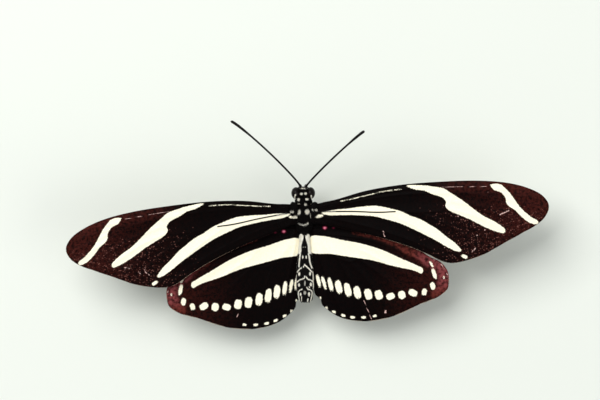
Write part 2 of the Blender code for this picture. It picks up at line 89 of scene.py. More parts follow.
rng = np.random.default_rng(41)


def axis_x(y):
    """Sideways place of the body's axis. The head is held a little to the left."""
    y = np.asarray(y, float)
    return BODY_LEAN * y + HEAD_SHIFT * np.clip((y - 0.6) / 1.4, 0, 1)


def axis_z(y):
    """Height of the body's axis."""
    return THORAX_Z - ABDOMEN_DIP * np.maximum(0.0, THORAX_BACK - np.asarray(y, float))


def world(points):
    """Points of the butterfly's own frame, in mm, as metres in the row frame."""
    return (np.asarray(points, float) + (BODY_X, BODY_Y, 0)) * 0.001


# %% [markdown]
# ## Lines and shapes
# Everything here starts as a few measured points: a wing's edge, a vein, the rim of a pale band.
# A centripetal Catmull-Rom curve runs smoothly through such points without overshooting. Distances
# to those curves then drive both the relief of the wing and its pattern, which keeps the pattern
# sharp at any zoom without an image.

# %% curves and distances
def respaced(line, step):
    """The same line with points about step apart."""
    reach = np.r_[0, np.cumsum(np.linalg.norm(np.diff(line, axis=0), axis=1))]
    at = np.linspace(0, reach[-1], max(2, round(reach[-1] / step)) + 1)
    return np.column_stack([np.interp(at, reach, line[:, k]) for k in range(line.shape[1])])


def smooth_line(points, closed=False, step=0.25):
    """A smooth curve through a few points. A closed one ends where it starts."""
    p = np.asarray(points, float)
    p = np.vstack([p[-1], p, p[0], p[1]]) if closed else np.vstack([p[0], p, p[-1]])
    spans = []
    for a, b, c, d in zip(p, p[1:], p[2:], p[3:]):
        k = [max(1e-4, np.linalg.norm(r - q)) ** 0.5 for q, r in ((a, b), (b, c), (c, d))]
        m1 = k[1] * ((b - a) / k[0] - (c - a) / (k[0] + k[1]) + (c - b) / k[1])
        m2 = k[1] * ((c - b) / k[1] - (d - b) / (k[1] + k[2]) + (d - c) / k[2])
        s = np.linspace(0, 1, 12, endpoint=False)[:, None]
        spans.append((2 * s**3 - 3 * s**2 + 1) * b + (s**3 - 2 * s**2 + s) * m1
                     + (3 * s**2 - 2 * s**3) * c + (s**3 - s**2) * m2)
    spans.append(p[-2][None])
    return respaced(np.vstack(spans), step)


def distance(points, line):
    """Shortest distance from each point to a line."""
    best = np.full(len(points), 1e9)
    for a, b in zip(line, line[1:]):
        ab = b - a
        t = np.clip(((points - a) @ ab) / max(1e-12, ab @ ab), 0, 1)
        best = np.minimum(best, np.linalg.norm(points - a - t[:, None] * ab, axis=1))
    return best


def nearest(points, lines):
    """Shortest distance from each point to any of several lines."""
    return np.min([distance(points, line) for line in lines], axis=0)


def depth_inside(points, loop):
    """Distance to a closed outline, positive inside it."""
    x, y = points.T
    within = np.zeros(len(points), bool)
    for (ax, ay), (bx, by) in zip(loop, loop[1:]):
        if ay != by:
            within ^= ((ay > y) != (by > y)) & (x < ax + (y - ay) * (bx - ax) / (by - ay))
    return np.where(within, 1, -1) * distance(points, loop)


def spot_depth(points, centre, half, lean_deg=0.0, power=2.0):
    """Depth inside a rounded spot, positive inside. half is (across, along)."""
    a = math.radians(lean_deg)
    x, y = (points - centre).T
    across = np.abs(x * math.cos(a) + y * math.sin(a)) / half[0]
    along = np.abs(-x * math.sin(a) + y * math.cos(a)) / half[1]
    return (1 - (across**power + along**power) ** (1 / power)) * min(half)


def smoothstep(low, high, x):
    """Goes smoothly from 0 at low to 1 at high. Where high is the lesser, it falls with x."""
    t = np.clip((np.asarray(x, float) - low) / (high - low), 0, 1)
    return t * t * (3 - 2 * t)


# %% [markdown]
# ## Meshes from numbers
# Every piece becomes one mesh object that rides on the frame's only body. Values such as how deep
# a point lies inside a pale band are stored on the vertices, and the materials read them by name.

# %% mesh helpers
def new_piece(name, points, faces, material, replaces=(), values=None, maps=None):
    """A mesh object from points in mm, with its values, its UV maps and its place in the frame."""
    mesh = bpy.data.meshes.new(name)
    mesh.from_pydata(world(points).tolist(), [], [tuple(map(int, f)) for f in faces])
    for key, value in (values or {}).items():
        attribute = mesh.attributes.new(key, "FLOAT", "POINT")
        attribute.data.foreach_set("value", np.asarray(value, np.float32))
    for key, uv in (maps or {}).items():
        layer = mesh.uv_layers.new(name=key)
        corner = np.empty(len(mesh.loops), np.int32)
        mesh.loops.foreach_get("vertex_index", corner)
        layer.data.foreach_set("uv", np.asarray(uv, np.float32)[corner].ravel())
    mesh.materials.append(material)
    mesh.shade_smooth()
    obj = bpy.data.objects.new(name, mesh)
    bpy.context.scene.collection.objects.link(obj)
    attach(obj, "root")
    if replaces:
        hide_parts(*replaces)
    triangles = sum(len(p.vertices) - 2 for p in mesh.polygons)
    print(f"{name}: {triangles} triangles")
    return obj


def grid_faces(rows, columns, closed=True, flip=False):
    """Quads between rows of points that each go round once, or from end to end."""
    faces = []
    for r in range(rows - 1):
        for c in range(columns if closed else columns - 1):
            d = (c + 1) % columns
            quad = (r * columns + c, r * columns + d, (r + 1) * columns + d, (r + 1) * columns + c)
            faces.append(quad[::-1] if flip else quad)
    return faces


def tube(path, radii, sides, normal):
    """Points and faces of a tube round a path that lies in one plane, closed at both ends."""
    path, radii = np.asarray(path, float), np.asarray(radii, float)
    normal = np.asarray(normal, float) / np.linalg.norm(normal)
    tangent = np.gradient(path, axis=0)
    tangent /= np.linalg.norm(tangent, axis=1)[:, None]
    up = np.cross(normal, tangent)
    up /= np.linalg.norm(up, axis=1)[:, None]
    angle = np.linspace(0, 2 * math.pi, sides, endpoint=False)
    ring = np.cos(angle)[None, :, None] * normal + np.sin(angle)[None, :, None] * up[:, None, :]
    points = path[:, None, :] + ring * radii[:, None, None]
    count = len(path)
    points = np.vstack([points.reshape(-1, 3), path[0], path[-1]])
    faces = grid_faces(count, sides)
    for c in range(sides):
        d = (c + 1) % sides
        faces.append((count * sides, d, c))
        faces.append((count * sides + 1, (count - 1) * sides + c, (count - 1) * sides + d))
    return points, faces


# %% [markdown]
# ## Colours and finishes
# A wing is two thin sheets of clear cuticle, roofed with overlapping scales about 0.1 mm across.
# Each scale is a flattened, hollow bristle that holds one pigment: melanin makes the near-black
# and maroon ones, and 3-hydroxykynurenine the creamy yellow ones of this species. That is why a
# band's edge is sharp but jagged at the size of a scale. The body wears hair-like scales of the
# same two colours. Legs, feelers and tongue are bare dark cuticle, and the eyes are near-black
# with a low gloss. Colours are sRGB hex values turned linear by one function. Cuticle and scales
# have a refractive index of about 1.55 and are not metallic.

# %% material helpers
CUTICLE_IOR = 1.55
FADE = {"interpolation_type": "SMOOTHSTEP"}   # a soft step between two values
BLEND = {"data_type": "RGBA", "out": 2}       # a mix of two colours, its inputs 6 and 7


def linear(hex_colour):
    """An sRGB hex colour as a linear RGBA tuple."""
    channels = [int(hex_colour[i:i + 2], 16) / 255 for i in (1, 3, 5)]
    return tuple(c / 12.92 if c <= 0.04045 else ((c + 0.055) / 1.055) ** 2.4
                 for c in channels) + (1.0,)


def add(tree, kind, *values, inputs=None, out=0, **settings):
    """Adds a node with its settings and its inputs, in order or by name, and gives one output.

    An input is another node's output, a number or a hex colour. Where out is None, all outputs
    are given.
    """
    made = tree.nodes.new("ShaderNode" + kind)
    for key, value in settings.items():
        setattr(made, key, value)
    for key, value in {**dict(enumerate(values)), **(inputs or {})}.items():
        if isinstance(value, bpy.types.NodeSocket):
            tree.links.new(value, made.inputs[key])
        else:
            made.inputs[key].default_value = linear(value) if isinstance(value, str) else value
    return made.outputs if out is None else made.outputs[out]


def new_material(name):
    """An empty material, and the call that adds a node to it."""
    made = bpy.data.materials.new(name)
    made.use_nodes = True
    made.node_tree.nodes.clear()
    return made, partial(add, made.node_tree)


def finish_material(node, colour, roughness, bump=None, shine=0.5):
    """The one shader that every finish here ends in. Shine is the strength of its gloss."""
    inputs = {"Base Color": colour, "Roughness": roughness, "IOR": CUTICLE_IOR,
              "Specular IOR Level": shine}
    if bump is not None:
        inputs["Normal"] = bump
    node("OutputMaterial", node("BsdfPrincipled", inputs=inputs), out=None)


# %% wing scales
# The rust-brown and the pink after the maroon also paint the reddish sheen of the hindwing's shiny
# front strip.
BLACK, MAROON, RUST_AND_SHEEN, PINK_SHEEN = "#030202", "#3a1510", "#642b24", "#823f40"
CREAM, CREAM_DEEP, RED, PINK = "#fffae4", "#f1e2b0", "#6e1430", "#f4859c"
# The colour of bare streaks also paints the sheen along the forewing's costal vein.
FLECK, BARE_AND_SHEEN = "#b0786c", "#d8b3aa"   # lone reddish scales, and streaks where scales are lost
UNDER_DARK, UNDER_PALE = "#1d0f0c", "#efe3bb"   # the duller underside
TILE = (0.11, 0.16)   # mm across and along, a little over a real scale's size, so that it shows
SOFT = 0.03           # mm over which the edge of a marking fades


def scale_tiles(node, place):
    """Overlapping rows of round-ended tiles: two random values for each, and its height."""
    x, y, _ = node("SeparateXYZ", place, out=None)
    warp = node("TexNoise", inputs={"Vector": place, "Scale": 1.1, "Detail": 2.0},
                noise_dimensions="2D")
    along = node("Math", x, TILE[1], operation="DIVIDE")
    along = node("Math", warp, 2.5, along, operation="MULTIPLY_ADD")
    row = node("Math", along, operation="FLOOR")
    shift = node("TexWhiteNoise", inputs={"W": row}, noise_dimensions="1D")
    across = node("Math", node("Math", y, TILE[0], operation="DIVIDE"), shift, operation="ADD")
    column = node("Math", across, operation="FLOOR")
    u = node("Math", along, operation="FRACT")
    v = node("Math", node("Math", across, operation="FRACT"), 0.5, operation="SUBTRACT")
    end = node("Math", node("Math", v, v, operation="MULTIPLY"), -1.3, 0.98,
               operation="MULTIPLY_ADD")
    beyond = node("Math", u, end, operation="GREATER_THAN")
    tile = node("CombineXYZ", node("Math", row, beyond, operation="ADD"),
                node("Math", beyond, 31.0, column, operation="MULTIPLY_ADD"))
    pick = node("TexWhiteNoise", inputs={"Vector": tile}, out="Color", noise_dimensions="2D")
    first, second, _ = node("SeparateColor", pick, out=None)
    height = node("Math", u, node("Math", 1.0, beyond, operation="SUBTRACT"),
                  operation="MULTIPLY")
    return first, second, height


def wing_material():
    """The ground colour first, then each marking laid over it by its depth at that place."""
    made, node = new_material("wing scales")
    place = node("UVMap", uv_map="wing")
    cell, other, tile_height = scale_tiles(node, place)
    wear = node("TexNoise", inputs={"Vector": place, "Scale": 1.7, "Detail": 4.0},
                noise_dimensions="2D")
    mark = {name: node("Attribute", attribute_name=name, out="Fac") for name in (
        "cream", "dark_line", "worn_and_sheen", "red", "maroon", "rust_and_sheen", "pink_sheen", "fleck", "under")}
    jitter = node("Math", cell, 0.1, -0.05, operation="MULTIPLY_ADD")

    cream = node("MapRange", node("Math", mark["cream"], jitter, operation="ADD"),
                 -SOFT, SOFT, **FADE)
    off_line = node("Math", 1.0, node("MapRange", mark["dark_line"], -0.03, 0.04, **FADE),
                    operation="SUBTRACT")
    cream = node("Math", cream, off_line, operation="MULTIPLY")
    # Rubbed streaks and spots, and the painted sheen along the forewing's costal vein.
    worn_and_sheen = node("MapRange", node("Math", jitter, 0.4, mark["worn_and_sheen"], operation="MULTIPLY_ADD"),
                -0.02, 0.03, **FADE)
    red = node("MapRange", node("Math", mark["red"], jitter, operation="ADD"),
               -0.1, 0.16, **FADE)
    clusters = node("MapRange", node("Math", cell, 0.5, wear, operation="MULTIPLY_ADD"),
                    0.45, 0.95, **FADE)
    patches = node("MapRange", wear, 0.2, 0.7, **FADE)
    lone = node("Math", wear, 0.25, cell, operation="MULTIPLY_ADD")
    lone = node("Math", mark["fleck"], 0.13, lone, operation="MULTIPLY_ADD")
    lone = node("MapRange", lone, 1.205, 1.22, **FADE)

    # The warm mix: a rust-brown tint on the forewing; on the hindwing's front strip it is painted
    # reddish sheen of the shiny scales, pinker outwards.
    rust_and_sheen_colour = node("Mix", mark["pink_sheen"], inputs={6: RUST_AND_SHEEN, 7: PINK_SHEEN}, **BLEND)
    crimson = node("Mix", node("MapRange", mark["red"], 0.03, 0.3, **FADE),
                   inputs={6: RED, 7: PINK}, **BLEND)
    pale = node("Mix", node("Math", other, 0.3, 0.05, operation="MULTIPLY_ADD"),
                inputs={6: CREAM, 7: CREAM_DEEP}, **BLEND)
    dull = node("Mix", cream, inputs={6: UNDER_DARK, 7: UNDER_PALE}, **BLEND)
    colour = BLACK
    for share, strength, over in ((mark["maroon"], clusters, MAROON),
                                  (mark["rust_and_sheen"], patches, rust_and_sheen_colour), (lone, 0.4, FLECK),
                                  (red, 1.0, crimson), (worn_and_sheen, 0.95, BARE_AND_SHEEN), (cream, 1.0, pale),
                                  (mark["under"], 0.5, dull)):
        share = node("Math", share, strength, operation="MULTIPLY")
        colour = node("Mix", share, inputs={6: colour, 7: over}, **BLEND)

    height = node("Math", wear, 0.5, tile_height, operation="MULTIPLY_ADD")
    bump = node("Bump", inputs={"Height": height, "Strength": 0.5, "Distance": 0.00003})
    rough = node("Math", cell, 0.15, 0.5, operation="MULTIPLY_ADD")
    finish_material(node, colour, rough, bump, shine=0.025)
    return made


WING = wing_material()
print("wing material:", len(WING.node_tree.nodes), "nodes")


# %% body, eye and cuticle
def body_material(name, hairy, dark=("#030202", "#120c0b"), pale=("#fffdf2", "#f0e6c8")):
    """Skin, or the hair over it. Both read the same markings."""
    made, node = new_material(name)
    cream = node("Attribute", attribute_name="cream", out="Fac")
    if hairy:
        tone, bump = node("Attribute", attribute_name="tone", out="Fac"), None
    else:
        place = node("TexCoord", out="Object")
        grain = node("Mapping", inputs={"Vector": place, "Scale": (1.0, 0.35, 1.0)})
        tone = node("TexNoise", inputs={"Vector": grain, "Scale": 9000.0, "Detail": 3.0})
        ragged = node("Math", tone, 0.2, -0.1, operation="MULTIPLY_ADD")
        cream = node("Math", cream, ragged, operation="ADD")
        bump = node("Bump", inputs={"Height": tone, "Strength": 0.6, "Distance": 0.00005})
    cream = node("MapRange", cream, -SOFT, SOFT, **FADE)
    tone = node("Math", tone, 0.6, operation="MULTIPLY")
    dark, pale = (node("Mix", tone, inputs={6: a, 7: b}, **BLEND) for a, b in (dark, pale))
    finish_material(node, node("Mix", cream, inputs={6: dark, 7: pale}, **BLEND), 0.6, bump,
                    shine=0.08)
    return made


def plain_material(name, colour, roughness, grain_mm=0.0, depth_mm=0.0, shine=0.5):
    """One colour with an even fine grain, as of bare cuticle."""
    made, node = new_material(name)
    bump = None
    if grain_mm:
        place = node("TexCoord", out="Object")
        grain = node("TexNoise", inputs={"Vector": place, "Scale": 1000 / grain_mm,
                                         "Detail": 3.0})
        bump = node("Bump", inputs={"Height": grain, "Strength": 0.5,
                                    "Distance": depth_mm / 1000})
    finish_material(node, colour, roughness, bump, shine)
    return made


SKIN = body_material("body scales", False)
HAIR = body_material("body hair", True)
EDGE = body_material("fringe scales", True, ("#070405", "#3a1c18"), ("#d8c3a8", "#a98672"))
CUTICLE = plain_material("dark cuticle", "#090505", 0.36, 0.05, 0.02, shine=0.15)
EYE = plain_material("compound eye", "#0c0605", 0.3, shine=0.1)
for made in (SKIN, HAIR, EDGE, CUTICLE, EYE):
    print(made.name + ":", len(made.node_tree.nodes), "nodes")

# %% [markdown]
# ## The wings' plan
# The outlines and veins come from the photograph's right wings, which lie flattest, measured in
# mm from the body. Each wing has its real venation: the forewing's long closed cell with the
# radial branches running to the tip, and the hindwing's shorter cell. The left wings are the same
# plan, turned, sheared and shifted as that side is held.

# %% wing plan
OUTLINES = {
    "fore": [
        (1.2, 0.5), (3.0, 1.15), (5.7, 1.75), (11.0, 3.3), (17.4, 4.4), (24.2, 4.95), (31.3, 5.15),
        (36.6, 4.75), (40.2, 3.85), (42.7, 2.6), (43.9, 1.15), (44.1, 0.1), (43.4, -1.5),
        (41.9, -2.9), (39.5, -4.3), (35.9, -6.3), (32.4, -8.25), (29.5, -9.3), (26.6, -9.85),
        (24.8, -9.5), (22.3, -8.3), (18.8, -6.85), (12.8, -5.0), (7.1, -3.7), (3.6, -2.85),
        (1.2, -2.45)],
    "hind": [
        (1.0, -2.3), (2.6, -2.2), (6.5, -2.3), (12.8, -3.4), (18.7, -5.6), (22.4, -8.4),
        (24.75, -9.6), (26.0, -11.3), (26.25, -12.75), (25.9, -14.6), (24.5, -15.8), (22.4, -16.8),
        (20.6, -17.45), (18.8, -18.4), (16.7, -19.3), (14.6, -19.95), (11.7, -20.4), (8.9, -20.3),
        (6.4, -19.65), (4.3, -18.4), (3.15, -17.3), (2.9, -16.4), (1.9, -15.5), (1.4, -12.8),
        (0.6, -7.4), (0.6, -4.6)],
}
VEINS = {
    "fore": {
        "subcosta": [(2.0, 0.25), (7.2, 1.4), (11.0, 2.4), (17.4, 3.5), (24.0, 4.05), (28.5, 4.2)],
        "radius": [(1.6, -0.05), (7.2, 0.95), (11.0, 1.7), (17.3, 2.55), (24.2, 2.8), (27.2, 2.85)],
        "radius_1": [(18.2, 2.65), (26.0, 3.45), (33.5, 4.15)],
        "radius_2": [(22.5, 2.8), (30.0, 3.4), (37.5, 3.6)],
        "radius_3": [(27.2, 2.85), (35.0, 2.75), (41.5, 1.9)],
        "radius_4": [(30.5, 2.7), (37.0, 1.6), (42.8, -0.1)],
        "radius_5": [(27.2, 2.85), (30.5, 2.7), (36.0, 0.9), (42.0, -1.9)],
        "cross": [(27.2, 2.85), (26.2, 1.4), (25.4, 0.1), (24.2, -0.4)],
        "media_1": [(26.2, 1.4), (31.5, 0.4), (40.5, -3.3)],
        "media_2": [(25.4, 0.1), (30.5, -1.2), (38.0, -4.9)],
        "cubitus": [(1.6, -0.5), (10.2, -0.5), (17.3, -0.5), (20.5, -0.55), (24.2, -0.4)],
        "media_3": [(24.2, -0.4), (28.6, -2.4), (35.0, -6.6)],
        "cubitus_1": [(20.5, -0.55), (25.6, -2.8), (33.0, -7.7)],
        "cubitus_2": [(14.8, -0.55), (17.3, -1.8), (22.2, -4.5), (28.6, -9.2)],
        "anal": [(1.6, -1.1), (7.5, -2.2), (14.0, -3.9), (21.0, -6.4), (26.3, -9.2)],
    },
    "hind": {
        "subcosta": [(1.8, -3.2), (6.5, -3.0), (12.8, -4.1), (19.4, -6.8), (23.8, -9.6)],
        "radius": [(1.8, -3.9), (8.6, -6.1), (10.2, -7.4)],
        "radial_sector": [(4.7, -4.6), (11.9, -5.6), (19.1, -8.4), (25.4, -11.6)],
        "media_1": [(8.6, -6.1), (14.6, -7.9), (20.9, -11.0), (25.9, -14.0)],
        "media_2": [(10.2, -7.4), (15.5, -10.1), (20.0, -12.8), (24.1, -15.9)],
        "media_3": [(9.7, -8.9), (13.7, -11.7), (17.3, -14.9), (20.2, -17.5)],
        "cross": [(10.2, -7.4), (9.7, -8.9), (8.3, -9.5)],
        "cubitus": [(1.8, -4.6), (6.1, -8.8), (8.3, -9.5)],
        "cubitus_1": [(8.3, -9.5), (11.3, -12.8), (14.0, -16.4), (15.8, -19.4)],
        "cubitus_2": [(6.1, -8.8), (8.3, -13.1), (10.1, -16.9), (11.2, -20.2)],
        "anal": [(1.9, -5.6), (3.9, -11.9), (5.6, -15.8), (6.5, -19.4)],
    },
}

# %% [markdown]
# ## The wings' pattern
# The forewing carries three creamy bands: one across the tip, one from the leading edge over the
# middle, and the long discal streak from the root, which the cubital vein splits. The hindwing has
# one broad band, a curved row of long spots, small spots before its hind margin and two crimson
# ones at its root. Each is drawn as a closed curve, an oval or a stroke, and the pattern keeps only
# the depth inside the nearest one. Rubbed places differ between the two sides, so each wing has
# its own. Brown and rust come in slowly towards the outer margin instead of with an edge. Along
# the hindwing's front strip, which the forewing leaves bare, the reddish brown is painted sheen of
# its shiny scales, pinker outwards, and the pale line along the forewing's costal vein is painted
# sheen on that raised vein.

# %% wing pattern
BANDS = {
    "fore": {
        "subapical": [
            (33.4, 4.35), (35.2, 4.45), (36.2, 3.65), (37.1, 2.7), (37.9, 1.55), (38.7, 0.45),
            (39.85, -0.7), (41.1, -1.65), (42.1, -2.2), (41.95, -2.7), (40.65, -2.5),
            (39.2, -1.5), (37.9, -0.2), (36.8, 0.5), (36.25, 1.25), (36.3, 1.7), (35.4, 3.0),
            (34.2, 3.4), (33.65, 3.95)],
        "median": [
            (18.3, 4.2), (22.0, 4.2), (23.0, 4.05), (24.9, 3.75), (26.35, 2.9), (28.45, 1.55),
            (30.2, 0.2), (32.1, -1.15), (34.7, -2.55), (36.15, -3.75), (36.0, -4.3),
            (34.55, -4.05), (32.45, -3.2), (29.9, -1.9), (27.8, -1.0), (26.0, -0.2), (25.4, 0.5),
            (25.55, 1.25), (24.9, 2.05), (23.0, 2.7), (21.5, 3.35), (20.25, 3.45), (18.85, 3.9)],
        "discal": [
            (4.4, -0.3), (6.1, -0.1), (7.75, 0.05), (9.4, 0.3), (12.6, 0.58), (14.2, 0.38),
            (15.85, 0.0), (17.5, -0.42), (19.1, -1.2), (20.7, -1.75), (22.3, -2.65), (23.9, -3.6),
            (25.55, -4.95), (27.2, -6.15), (28.35, -7.6), (27.2, -7.5), (25.55, -6.72),
            (23.9, -5.75), (22.3, -4.9), (19.1, -3.35), (17.5, -2.65), (15.85, -2.12),
            (14.2, -1.68), (12.6, -1.3), (9.4, -1.1), (6.1, -1.1), (4.6, -1.15), (3.7, -0.95),
            (3.15, -0.62)],
        "root": [(2.14, -1.62), (2.4, -1.2), (2.7, -0.9), (3.1, -1.0), (3.58, -1.15), (3.3, -1.4),
                 (2.7, -1.6)],
    },
    "hind": {
        "band": [
            (1.1, -5.05), (3.5, -4.9), (6.6, -5.55), (10.3, -6.25), (13.95, -7.35), (17.65, -9.0),
            (20.4, -10.2), (21.4, -10.75), (21.3, -11.6), (19.85, -11.1), (17.65, -10.6),
            (15.45, -10.1), (12.15, -9.2), (8.45, -8.65), (4.8, -8.1), (1.1, -7.7)],
    },
}
SPOTS = {   # centre, half width and half length, lean
    "fore": [((28.85, -8.55), (0.58, 0.3), -25)],
    "hind": [
        ((2.62, -13.05), (0.3, 1.15), 13), ((3.6, -13.3), (0.28, 1.2), 16),
        ((4.78, -13.65), (0.38, 1.2), 13), ((6.26, -14.1), (0.56, 1.22), 13),
        ((7.9, -14.62), (0.57, 1.24), 14), ((9.63, -15.1), (0.6, 1.15), 14),
        ((11.6, -15.4), (0.66, 0.98), 16), ((13.5, -15.5), (0.66, 0.86), 18),
        ((15.6, -15.76), (0.76, 0.58), 20), ((17.64, -15.5), (0.62, 0.74), 20),
        ((19.65, -15.12), (0.82, 0.58), -25), ((21.7, -14.95), (0.44, 0.62), -10),
        ((23.2, -13.86), (0.44, 0.66), 12), ((23.45, -11.65), (0.34, 0.98), 18),
        ((22.97, -9.95), (0.2, 0.62), 30), ((25.2, -12.3), (0.12, 0.26), 10),
        ((3.0, -16.15), (0.2, 0.3), 15), ((4.05, -17.95), (0.24, 0.3), 20),
        ((5.42, -18.62), (0.38, 0.24), -25), ((7.1, -19.25), (0.4, 0.24), -15),
        ((8.8, -19.6), (0.42, 0.24), -5), ((10.76, -19.6), (0.4, 0.24), 5),
        ((12.8, -19.3), (0.36, 0.22), 12)],
}
LONG_SPOT = 1.1       # half length from which a spot has a notch in its hind end
NOTCH = (0.1, 0.24)   # half width and half length
STROKES = {   # half width, line
    "fore": [(0.07, [(6.6, 1.4), (10.3, 2.2), (14.0, 3.1), (17.6, 3.58)])],
    "hind": [],
}
DARK_LINES = {   # veins that show through a band
    "fore": [(0.13, [(3.0, -0.45), (9.4, -0.45), (12.0, -0.57), (14.2, -0.58), (16.4, -0.45)]),
             (0.05, [(3.9, -0.6), (4.3, -1.4)])],
    "hind": [],
}
RED_SPOTS = {"fore": [], "hind": [((3.75, -3.4), (0.44, 0.36)), ((5.3, -3.42), (0.25, 0.17))]}
# A pale line along the forewing's costal vein: painted sheen on the raised vein, in the colour of
# bare streaks.
COSTAL_SHEEN_LINE = (0.045, [(23.5, 3.95), (28.9, 4.0), (33.1, 4.05)])
PALE_RIM = (0.08, [(22.9, -8.85), (24.35, -9.6), (25.3, -10.75), (25.75, -11.6), (25.88, -12.2)])
# Rubbed streaks and spots of each wing, and on the forewings the painted sheen along the costal
# vein.
WORN_AND_SHEEN = {   # half width, line
    ("fore", "right"): [
        COSTAL_SHEEN_LINE, (0.1, [(35.1, -1.06), (36.84, -0.24)]), (0.1, [(14.25, -4.0), (14.5, -4.95)]),
        (0.1, [(30.23, -7.67), (30.83, -7.03)]), (0.1, [(27.66, -1.27), (27.66, -1.42)]),
        (0.12, [(32.5, -3.74), (32.5, -3.9)]), (0.14, [(31.02, -4.73), (31.08, -4.73)]),
        (0.1, [(33.05, 3.07), (33.12, 3.07)]), (0.1, [(25.17, -6.94), (25.24, -6.94)]),
        (0.03, [(27.3, -1.98), (27.4, -2.9)]), (0.03, [(35.0, -2.0), (35.05, -3.8)])],
    ("fore", "left"): [
        COSTAL_SHEEN_LINE, (0.07, [(29.6, -6.9), (30.4, -6.0), (30.2, -5.3)]),
        (0.07, [(30.9, -6.6), (31.6, -5.9)]), (0.07, [(32.6, -5.3), (33.6, -4.7), (34.6, -4.6)]),
        (0.05, [(33.2, -4.2), (33.9, -5.2)])],
    ("hind", "right"): [
        PALE_RIM, (0.07, [(10.8, -16.5), (12.2, -19.9)]), (0.08, [(14.5, -18.35), (14.86, -18.75)]),
        (0.08, [(14.5, -18.75), (14.86, -18.35)])],
    ("hind", "left"): [PALE_RIM, (0.07, [(13.7, -17.2), (14.15, -18.2)])],
}
# The middle of the hindwing's front strip, where its shiny scales carry a painted reddish sheen.
SHEEN_STRIP_LINE = [(8.8, -4.34), (13.1, -5.1), (16.6, -6.3), (18.3, -7.27), (20.9, -8.4), (22.1, -9.25),
             (24.0, -10.1), (25.2, -11.8), (25.0, -13.9), (24.0, -15.3)]
REACH_OUT = {"fore": 44.0, "hind": 26.0}   # mm from the body to the wing's tip
OUTSIDE = -9.0   # the depth that stands for a place in none of the markings


def deepest(p, spots):
    """Depth inside the nearest of several spots."""
    found = np.full(len(p), OUTSIDE)
    for centre, half in spots:
        found = np.maximum(found, spot_depth(p, centre, half))
    return found


def stroke_depth(p, strokes):
    """Depth inside the nearest of several strokes, each a half width and a line."""
    found = np.full(len(p), OUTSIDE)
    for half, line in strokes:
        found = np.maximum(found, half - distance(p, smooth_line(line, step=0.4)))
    return found


def pattern(pair, side, p):
    """The markings at points of a wing's plan, each as a depth in mm, positive inside."""
    cream = stroke_depth(p, STROKES[pair])
    for loop in BANDS[pair].values():
        cream = np.maximum(cream, depth_inside(p, smooth_line(loop, True, 0.35)))
    for centre, half, lean in SPOTS[pair]:
        depth = spot_depth(p, centre, half, lean, 2.8)
        if half[1] > LONG_SPOT:
            a = math.radians(lean)
            end = (centre[0] + half[1] * math.sin(a), centre[1] - half[1] * math.cos(a))
            depth = np.minimum(depth, -spot_depth(p, end, NOTCH, lean))
        cream = np.maximum(cream, depth)
    out = p[:, 0] / REACH_OUT[pair]
    maroon = 0.04 + 0.8 * smoothstep(0.35, 1.0, out) ** 1.5
    if pair == "hind":
        # The hindwing's front strip, which the forewing leaves bare: painted reddish sheen of its
        # shiny scales, pinker towards the outer corner.
        reach = np.interp(p[:, 0], (9.0, 13.0, 16.6, 20.0, 24.0), (0.3, 0.5, 0.85, 1.1, 1.6))
        near = distance(p, smooth_line(SHEEN_STRIP_LINE, step=0.8)) / reach
        rust_and_sheen = smoothstep(1.0, 0.3, near) * smoothstep(6.0, 12.0, p[:, 0])
        pink_sheen = smoothstep(19.0, 22.0, p[:, 0]) * smoothstep(-15.5, -13.0, p[:, 1])
        fleck = 0.35 * smoothstep(0.5, 1.0, out) + 0.3 * smoothstep(-17.0, -19.0, p[:, 1])
    else:
        costa = smoothstep(2.6, 3.4, p[:, 1]) * smoothstep(22.0, 28.0, p[:, 0])
        rust_and_sheen = 0.15 * smoothstep(0.7, 1.0, out) + 0.2 * costa
        pink_sheen = np.zeros(len(p))
        fleck = smoothstep(0.2, 0.7, out) * smoothstep(3.0, -1.0, p[:, 1])
    return {"cream": cream, "dark_line": stroke_depth(p, DARK_LINES[pair]),
            "red": deepest(p, RED_SPOTS[pair]), "worn_and_sheen": stroke_depth(p, WORN_AND_SHEEN[pair, side]),
            "maroon": maroon, "rust_and_sheen": rust_and_sheen, "pink_sheen": pink_sheen, "fleck": fleck}


# %% [markdown]
# ## Building a wing
# The membrane is a real double sheet, 0.14 mm thick. Its points come from an even hexagonal net,
# from the wing's edge and from every vein, and a constrained triangulation joins them, so each
# vein is a crisp continuous ridge with a foot on each side. Between the veins the sheet sags a
# little, as a real wing is pleated, and its margin waves. The outline is set in by the length of
# the fringe scales, which are made afterwards.

# %% wing sheets
MEMBRANE = 0.14
FRINGE = 0.15
NET_STEP = 0.25
VEIN_HEIGHT, VEIN_WIDTH = 0.11, 0.26
VEIN_FOOT = 0.17  # from a vein's crest to its foot
VEIN_ROOM = 0.3   # the even net keeps this far from a vein
SCALLOP = 0.06
JOIN = 0.13       # points of two veins that are nearer than this are one
BARE_EDGE = 0.05  # how far the front edge, which has no fringe, is set in
SAG, WAVE = 0.1, 0.06   # depth between veins, and height of the waves at the margin


def outward(loop):
    """Unit vectors that point out of a closed clockwise line, one for each of its points."""
    ahead = np.roll(loop[:-1], -1, axis=0) - np.roll(loop[:-1], 1, axis=0)
    normal = np.column_stack([-ahead[:, 1], ahead[:, 0]])
    return normal / np.linalg.norm(normal, axis=1)[:, None]


